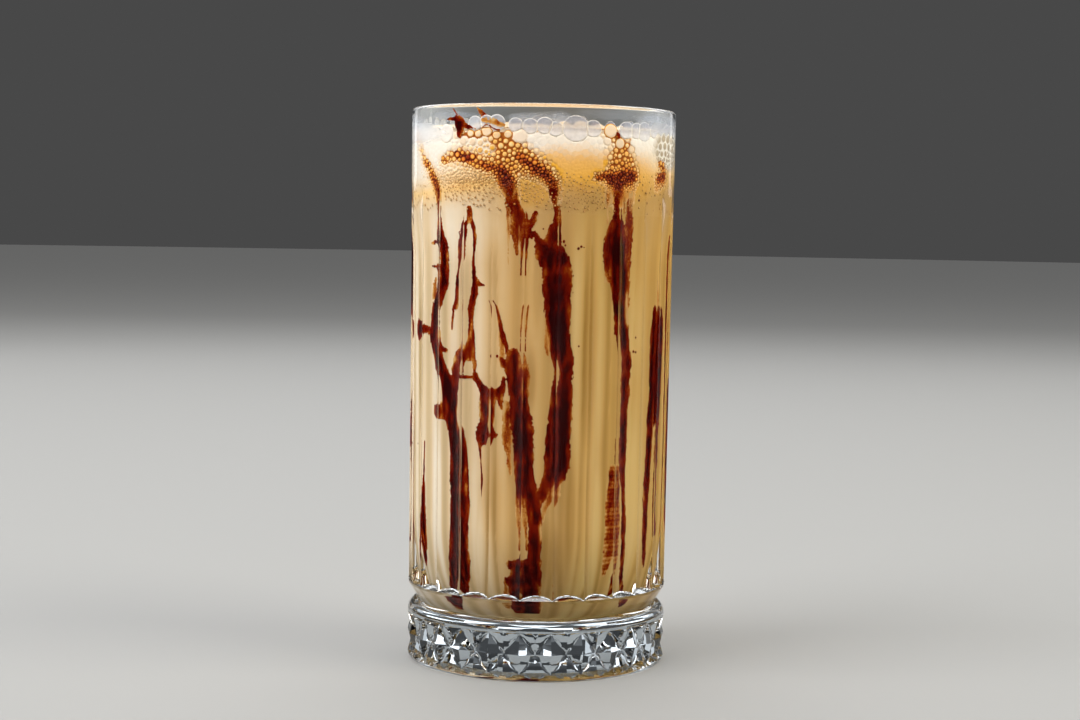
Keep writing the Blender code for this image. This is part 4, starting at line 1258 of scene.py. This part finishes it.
def packed(spots, wrap, least, kept=(), spread=1.0):
    """Bubbles at those spots, in turn, each as large as those before it leave room for.

    One that would be smaller than its least share is left out. wrap is the length after which the wall
    comes round to its start, and spread over 1 keeps the bubbles apart.
    """
    columns = 140
    cell = (wrap or 0.2) / columns
    grid, done = {}, []

    def settle(bubble):
        u, v, r = bubble
        reach = r * spread + 2.0 * MM
        for i in range(math.floor((u - reach) / cell), math.floor((u + reach) / cell) + 1):
            for j in range(math.floor((v - reach) / cell), math.floor((v + reach) / cell) + 1):
                grid.setdefault((i % columns if wrap else i, j), []).append(bubble)
        done.append(bubble)

    for bubble in kept:
        settle(bubble)
    for u, v, size in spots:
        room = size
        for a, b, r in grid.get((math.floor(u / cell), math.floor(v / cell)), ()):
            gap = abs(u - a)
            if wrap:
                gap = min(gap, wrap - gap)
            room = min(room, math.hypot(gap, v - b) / spread - r)
            if room < least * size:
                break
        if room >= least * size:
            settle((u, v, room))
    return done


class COFFEE_OT_glass(bpy.types.Operator):
    """Turns the glass and presses its flutes and diamonds"""

    bl_idname = "coffee.glass"
    bl_label = "Glass"

    def execute(self, context):
        piece = turned("fluted_glass", glass_outline(), look("glass").flutes * ROWS_PER_FLUTE)
        mesh = piece.data
        points = read_points(mesh)
        radius = np.hypot(points[:, 0], points[:, 1])
        around = gathered(around_of(points))
        points[:, 0] = radius * np.sin(around)
        points[:, 1] = -radius * np.cos(around)
        outside = radius > inner_radius(points[:, 2]) + RIM_WALL / 3
        fluted = outside & (points[:, 2] >= FLUTE_FOOT) & (points[:, 2] <= FLUTE_FADE_TOP)
        edge = 0.01 * MM
        in_band = (points[:, 2] <= DIAMOND_TOP + edge) & (points[:, 2] >= DIAMOND_BOTTOM - edge)
        cut = outside & in_band & (radius > FOOT_RADIUS - edge)
        depth = np.where(fluted, flute_depth(around, points[:, 2]), 0.0)
        depth = np.where(cut, diamond_depth(around, points[:, 2]), depth)
        bm = bmesh.new()
        bm.from_mesh(mesh)
        bm.verts.ensure_lookup_table()
        for face in list(bm.faces):
            if len(face.verts) == 4 and all(cut[v.index] for v in face.verts):
                a, b, c, d = face.verts
                first = depth[a.index] + depth[c.index] > depth[b.index] + depth[d.index]
                bmesh.utils.face_split(face, *((a, c) if first else (b, d)))
        bm.to_mesh(mesh)
        bm.free()
        inwards = (radius - depth) / np.maximum(radius, edge)
        write_points(mesh, points * np.stack([inwards, inwards, np.ones(len(points))], 1))
        add_fields(mesh, {"rim_painted_reflection": in_patches(around * FLAT_RADIUS, points[:, 2], RIM_REFLECTION_PATCHES)})
        finished(piece, pressed_glass(), ["glass"], angle=24)
        return {"FINISHED"}


class COFFEE_OT_coffee(bpy.types.Operator):
    """Pours the milk coffee, just into the wall of the glass so that no air shows between them"""

    bl_idname = "coffee.coffee"
    bl_label = "Coffee"

    def execute(self, context):
        top = COFFEE_TOP
        corner = (CORNER_WIDTH + WETTING, CORNER_DROP + WETTING)
        outline = [(0.0, top)]
        outline += [(float(inner_radius(h)) + WETTING, float(h)) for h in np.linspace(top, 44 * MM, 24)]
        outline += arc((INNER_FLOOR_RADIUS - CORNER_WIDTH, CORNER_TOP), corner, 0, -90, 18)
        outline += [(0.0, FLOOR_HEIGHT - WETTING)]
        piece = turned("milk_coffee", outline, look("glass").flutes * ROWS_PER_FLUTE)
        add_fields(piece.data, coffee_fields(read_points(piece.data)))
        finished(piece, milk_coffee(), ["coffee"])
        return {"FINISHED"}


class COFFEE_OT_sauce(bpy.types.Operator):
    """Runs the chocolate sauce down the inside of the glass, in ragged streaks"""

    bl_idname = "coffee.sauce"
    bl_label = "Sauce"

    def execute(self, context):
        sauce = chocolate_sauce()
        for node, runs in SAUCE_RUNS.items():
            self.pour(node + "_poured", runs, sauce, [node])
        over_haze = IN_FRONT + 0.1 * MM
        self.pour("sauce_from_rim", RIM_RUNS, sauce, least=0.34, proud=over_haze)
        self.pour("sauce_threads", RIM_THREADS, sauce, film=True, least=0.2)
        self.pour("sauce_at_foam", RIM_FILMS, sauce, film=True, least=0.02, proud=over_haze)
        self.pour("sauce_films", FILM_RUNS, sauce, film=True, least=0.04)
        self.pour("sauce_smears", SMEARED_RUNS, sauce, film=True, least=0.24)
        self.pour("sauce_ripples", RIPPLED_RUNS, sauce, film=True, least=0.2, ripple=0.09)
        specks = [(math.radians(a) * FLAT_RADIUS, z * MM, width * MM / 2) for a, z, width in SPECKS]
        frames, radius = wall_frames(specks)
        piece, middle, groove = capped("sauce_specks", frames, radius, 8, PIP_RINGS)
        add_fields(piece.data, {"depth": 0.95 - 0.4 * groove})
        finished(piece, sauce)
        return {"FINISHED"}

    def pour(self, name, runs, sauce, nodes=(), film=False, least=0.36, ripple=0.0, proud=None):
        """Lays the runs on the wall as a ragged sheet of that name, with how thick it looks at each point."""
        margin = 4 * MM
        stations = np.vstack([dense(run) for run in runs])
        left, bottom = stations[:, :2].min(axis=0) - margin
        right, top = stations[:, :2].max(axis=0) + margin
        us = np.arange(left, right, SAUCE_STEP)
        zs = np.arange(max(bottom, SAUCE_BOTTOM), top, SAUCE_STEP)
        flat, height = np.meshgrid(us, zs, indexing="ij")
        gap, half = nearest_run(flat, height, runs)
        near = gap < 3 * MM
        rough = look("sauce").raggedness * np.clip(half[near] / (0.9 * MM), 0.2, 1.0)
        spots = on_wall(flat[near], height[near])
        wander = sum(share * grain(spots, across, along, seed) for share, across, along, seed in EDGE_NOISES)
        gap[near] += rough * wander * 1.6
        places, faces = cut_sheet(gap)
        u, z = at_places(flat, places), at_places(height, places)
        proud = proud or (WETTING + 0.04 * MM if film else SAUCE_WETTING)
        piece = new_piece(name, on_wall(u, z, proud), faces)
        spots = on_wall(u, z)
        depth = np.clip(-outside_by(u, z, runs) / (2.0 * MM), 0, 1) ** 0.7
        depth += 0.4 * in_patches(u, z, THICK_PATCHES) - 0.6 * in_patches(u, z, THIN_PATCHES)
        depth += 0.6 * grain(spots, 1.6 * MM, 9 * MM, 5)
        bent = 2 * grain(spots, 3 * MM, 2 * MM, 6)
        waves = ripple * sum(np.sin(math.tau * z / length + bent) for length in RIPPLE_LENGTHS)
        body, mottling = (0.3, 0.18) if film else (0.5, 0.34)
        depth = least + depth * body + mottling * grain(spots, 1.3 * MM, 3.4 * MM, 8)
        add_fields(piece.data, {"depth": depth + waves})
        bpy.context.view_layer.objects.active = piece
        bpy.ops.object.select_all(action="DESELECT")
        piece.select_set(True)
        bpy.ops.object.modifier_add(type="SOLIDIFY")
        piece.modifiers[-1].thickness = SAUCE_FILM_THICKNESS if film else SAUCE_THICKNESS
        piece.modifiers[-1].offset = -1.0
        bpy.ops.object.modifier_apply(modifier=piece.modifiers[-1].name)
        finished(piece, sauce, nodes)


class COFFEE_OT_foam(bpy.types.Operator):
    """Fills the top of the glass with foam"""

    bl_idname = "coffee.foam"
    bl_label = "Foam"

    def execute(self, context):
        outline = [(0.0, FOAM_LEVEL), (20 * MM, FOAM_LEVEL), (25 * MM, FOAM_LEVEL - 0.3 * MM)]
        outline += [(29.3 * MM, FOAM_EDGE + 0.3 * MM), (31 * MM, FOAM_EDGE)]
        heights = np.linspace(FOAM_EDGE - 0.2 * MM, COFFEE_TOP - 0.6 * MM, 64)
        sunk = 0.4 * MM * smooth_step(heights, BUBBLES_FROM, BUBBLES_FROM + 1.5 * MM)
        outline += list(zip(map(float, inner_radius(heights) + WETTING * 1.2 - sunk), map(float, heights)))
        outline += [(0.0, COFFEE_TOP - 0.6 * MM)]
        core = turned("foam_core", outline, look("glass").flutes * ROWS_PER_FLUTE)
        fields = foam_fields(read_points(core.data))
        fields["groove"] = np.where(fields["stain"] > 0.15, SEEN_THROUGH, 0.2)
        add_fields(core.data, fields)
        foam = milk_foam()
        finished(core, foam, ["foam"])
        self.against_glass(foam)
        self.pips(foam)
        self.haze()
        self.on_top(foam)
        return {"FINISHED"}

    def against_glass(self, foam):
        """Bubbles pressed flat against the glass, with clear ones along the foam's edge, in one sheet."""
        turn = math.tau * FLAT_RADIUS
        draw = np.random.RandomState(BUBBLE_SEED)
        scale = look("foam").bubble_scale
        clear = [(u, z - 0.1 * r, r * 1.17) for u, z, r in laid_flat(CLEAR_BUBBLES, scale)]
        great = laid_flat(GREAT_BUBBLES, scale)
        more = draw.uniform(BACK_CLEAR_LEAST, BACK_CLEAR_MOST, (BACK_CLEAR_TRIES, 3))
        more = laid_flat(more, scale)
        clear = clear + packed(more, turn, 0.75, clear + great, spread=0.86)[len(clear + great):]
        kept = clear + great
        for tries, least in BUBBLE_TRIES:
            flat = draw.uniform(0, turn, tries)
            height = draw.uniform(BUBBLES_FROM - 0.3 * MM, BUBBLES_BELOW, tries)
            usual = np.interp(height / MM, BUBBLE_HEIGHTS, BUBBLE_RADII) * MM * scale
            usual = usual * draw.uniform(0.75, 1.2, tries)
            kept = packed(list(zip(flat, height, usual)), turn, least, kept)
        bubbles = np.array(kept)
        us = np.linspace(-turn / 2, turn / 2, round(turn / BUBBLE_STEP))
        zs = np.arange(BUBBLES_FROM, BUBBLE_SHEET_TOP, BUBBLE_STEP)
        flat, height = np.meshgrid(us, zs, indexing="ij")
        owner, outside, edge = cells(us, zs, bubbles)
        places, faces = cut_sheet(np.minimum(outside, height - FOAM_EDGE))
        u, z = at_places(flat, places), at_places(height, places)
        size = bubbles[owner, 2]
        seam = np.where(owner < len(clear), 0.36, 0.62)
        groove = at_places(1 - smooth_step(edge / np.minimum(size, 0.9 * MM), 0.0, seam), places)
        middles = foam_fields(on_wall(bubbles[:, 0], bubbles[:, 1]))
        films = np.arange(len(bubbles)) < len(clear)
        seen = np.maximum(in_patches(bubbles[:, 0], bubbles[:, 1], BUBBLY_PATCHES), middles["net"])
        seen = np.maximum(np.maximum(seen, smooth_step(middles["stain"], 0.03, 0.2)), films)
        seen = at_places(0.12 + 0.88 * seen[owner], places)
        grown = smooth_step(z, BUBBLES_FROM, BUBBLES_FROM + 4 * MM)
        proud = WETTING * 1.4 + 0.3 * MM * (1 - groove**2 * seen) * grown
        points = on_wall(u, z, proud)
        fields = foam_fields(points, stained=False)
        mottled = middles["stain"] + draw.uniform(-0.14, 0.14, len(bubbles)) * (middles["stain"] > 0.1)
        mottled *= 1 - 0.9 * smooth_step(bubbles[:, 2], 0.6 * MM, 1.2 * MM) * ~films
        mottled = at_places(mottled[owner], places)
        lined = np.clip(groove * 1.6, 0, 1)
        fields["stain"] = at_places(middles["stain"][owner], places) * lined + mottled * (1 - lined)
        fields["warm"] = at_places(middles["warm"][owner], places)
        fields["groove"] = groove * seen * grown + SEEN_THROUGH * (1 - grown) * (fields["stain"] > 0.15)
        nearest = np.rint(places).astype(int)
        belongs = owner[nearest[:, 0], nearest[:, 1]]
        kinds = (("foam_film", bubble_film()), ("foam_bubbles_left", foam), ("foam_bubbles_right", foam))
        groups = ([], [], [])
        for face in faces:
            side = 0 if belongs[face[0]] < len(clear) else 1 if u[face[0]] < 0 else 2
            groups[side].append(face)
        for (name, material), group in zip(kinds, groups):
            used, group = renumbered(group)
            piece = new_piece(name, points[used], group)
            add_fields(piece.data, {key: values[used] for key, values in fields.items()})
            finished(piece, material, angle=80)

    def pips(self, foam):
        """The pinprick bubbles where the foam turns to coffee."""
        turn = math.tau * FLAT_RADIUS
        draw = np.random.RandomState(PIP_SEED)
        least, most = zip((0, turn), PIP_BAND, PIP_RADII)
        spots = draw.uniform(least, most, (PIP_TRIES, 3))
        likely = in_patches(spots[:, 0], spots[:, 1], PIP_PATCHES)
        spots = spots[draw.uniform(0.0, 1.0, len(spots)) < 0.03 + likely]
        kept = packed([tuple(p) for p in spots], turn, 0.95, spread=1.45)
        frames, radius = wall_frames(kept, proud=IN_FRONT)
        foamed(capped("foam_pips", frames, radius, 6, PIP_RINGS), foam, least=0.18)

    def haze(self):
        """Thin skins that the foam left on the glass above it."""
        us = np.arange(-math.pi * FLAT_RADIUS, math.pi * FLAT_RADIUS, HAZE_STEP)
        zs = np.arange(*HAZE_BAND, HAZE_STEP)
        flat, height = np.meshgrid(us, zs, indexing="ij")
        share = in_patches(flat, height, HAZE_PATCHES)
        places, faces = cut_sheet(0.05 - share)
        points = on_wall(at_places(flat, places), at_places(height, places), IN_FRONT)
        piece = new_piece("foam_haze", points, faces)
        add_fields(piece.data, {"share": at_places(share, places)})
        finished(piece, foam_haze())

    def on_top(self, foam):
        """Bubbles over the level top of the foam."""
        draw = np.random.RandomState(TOP_SEED)
        edge = float(inner_radius(FOAM_LEVEL))
        kept = []
        for tries, least in TOP_BUBBLE_TRIES:
            spots = draw.uniform(-edge, edge, (tries, 2))
            usual = np.interp(draw.uniform(0, 1, tries), [0, 0.6, 0.9, 1], [0.5, 0.8, 1.5, 2.6]) * MM
            out = np.hypot(*spots.T)
            largest = np.interp(out, [14 * MM, 25 * MM, 30 * MM], [2.6 * MM, 0.6 * MM, 0.45 * MM])
            usual = np.minimum(usual, largest)
            inside = out + usual < edge - 2.6 * MM
            kept = packed(list(zip(*spots[inside].T, usual[inside])), None, least, kept)
        x, y, radius = np.array(kept).T
        zero = np.zeros(len(x))
        axes = [np.stack([zero + a, zero + b, zero + c], 1) for a, b, c in ((1, 0, 0), (0, 1, 0), (0, 0, 1))]
        middle = np.stack([x, y, zero + FOAM_LEVEL], 1)
        foamed(capped("foam_bubbles_top", (middle, *axes), radius, 10, ROUND_RINGS), foam)


class COFFEE_OT_stage(bpy.types.Operator):
    """Sets the floor, the lamps and the camera"""

    bl_idname = "coffee.stage"
    bl_label = "Stage"

    def execute(self, context):
        settings = look("stage")
        bpy.ops.object.select_all(action="DESELECT")
        bpy.ops.mesh.primitive_circle_add(vertices=128, radius=8.0, fill_type="NGON", location=(0, 0, 0))
        floor = bpy.context.object
        floor.name = "floor"
        paper = Shader("stage_paper")
        paper.set(Roughness=0.7, Specular_IOR_Level=0.2)
        paper.surface.inputs["Base Color"].default_value = (*linear(settings.floor), 1.0)
        floor.data.materials.append(paper.material)
        self.lamp("key", settings.key, (1.2, 1.0), (-1.3, -0.7, 1.25))
        self.lamp("fill", settings.fill, (0.9, 0.9), (1.25, -0.45, 1.1), (1.0, 0.95, 0.84))
        self.lamp("left_edge", settings.edge, (0.2, 0.8), (-0.74, 1.15, 0.42))
        self.lamp("right_edge", settings.edge * 0.6, (0.14, 0.8), (0.78, 1.1, 0.42))
        self.lamp("top", settings.top, (1.8, 1.5), (-0.3, 0.15, 1.5))
        self.lamp("back", settings.back, (1.8, 0.5), (0.0, 1.3, 1.0))
        world = bpy.data.worlds.new("studio")
        context.scene.world = world
        world.use_nodes = True
        nodes, links = world.node_tree.nodes, world.node_tree.links
        split = nodes.new("ShaderNodeSeparateXYZ")
        rise = nodes.new("ShaderNodeMapRange")
        links.new(nodes.new("ShaderNodeTexCoord").outputs["Generated"], split.inputs[0])
        links.new(split.outputs["Z"], rise.inputs["Value"])
        spread = {"From Min": 0.15, "From Max": 0.8, "To Min": settings.horizon, "To Max": settings.sky}
        for key, value in spread.items():
            rise.inputs[key].default_value = value
        links.new(rise.outputs[0], nodes["Background"].inputs["Strength"])
        nodes["Background"].inputs["Color"].default_value = (*WHITE, 1.0)
        self.camera(context)
        context.scene.view_settings.view_transform = "Standard"
        return {"FINISHED"}

    def lamp(self, name, watts, size, place, colour=WHITE):
        """A soft lamp at that place, turned to the glass."""
        aim = Vector(LAMP_AIM) - Vector(place)
        turn = aim.to_track_quat("-Z", "Y").to_euler()
        bpy.ops.object.light_add(type="AREA", location=place, rotation=turn)
        lamp = bpy.context.object
        lamp.name = "lamp_" + name
        lamp.data.shape = "RECTANGLE"
        lamp.data.energy = watts
        lamp.data.color = colour
        lamp.data.size, lamp.data.size_y = size

    def camera(self, context):
        """A little below the rim, tipped down a little and turned a little about its own line of sight."""
        tip, turn = math.radians(CAMERA_TIP), math.radians(CAMERA_TURN)
        ahead = Vector((0, math.cos(tip), -math.sin(tip)))
        right, up = Vector((1, 0, 0)), Vector((0, math.sin(tip), math.cos(tip)))
        x_axis = math.cos(turn) * right + math.sin(turn) * up
        y_axis = -math.sin(turn) * right + math.cos(turn) * up
        pose = Matrix((x_axis, y_axis, -ahead)).transposed()
        bpy.ops.object.camera_add(location=CAMERA_PLACE, rotation=pose.to_euler())
        camera = bpy.context.object
        camera.data.lens = CAMERA_LENS
        camera.data.sensor_width = CAMERA_SENSOR
        context.scene.camera = camera


class COFFEE_PT_panel(bpy.types.Panel):
    """Lists the steps of the drink, and the sizes and colours that can be changed"""

    bl_idname = "COFFEE_PT_panel"
    bl_label = "Iced Coffee"
    bl_space_type = "VIEW_3D"
    bl_region_type = "UI"
    bl_category = "Iced Coffee"

    def draw(self, context):
        for step in STEPS:
            self.layout.operator("coffee." + step)
        for name, group in SETTINGS.items():
            box = self.layout.box()
            box.label(text=name.capitalize())
            for key in group.__annotations__:
                box.prop(look(name), key)


STEPS = ["glass", "coffee", "sauce", "foam", "stage"]
SETTINGS = {
    "glass": GlassSettings,
    "drink": DrinkSettings,
    "foam": FoamSettings,
    "sauce": SauceSettings,
    "stage": StageSettings,
}
CLASSES = [
    *SETTINGS.values(), COFFEE_OT_glass, COFFEE_OT_coffee, COFFEE_OT_sauce, COFFEE_OT_foam, COFFEE_OT_stage,
    COFFEE_PT_panel,
]


def register():
    for item in CLASSES:
        bpy.utils.register_class(item)
    for name, group in SETTINGS.items():
        setattr(bpy.types.Scene, "coffee_" + name, PointerProperty(type=group))


def unregister():
    for name in SETTINGS:
        delattr(bpy.types.Scene, "coffee_" + name)
    for item in reversed(CLASSES):
        bpy.utils.unregister_class(item)


def main():
    register()
    for step in STEPS:
        getattr(bpy.ops.coffee, step)()


if __name__ == "__main__":
    main()
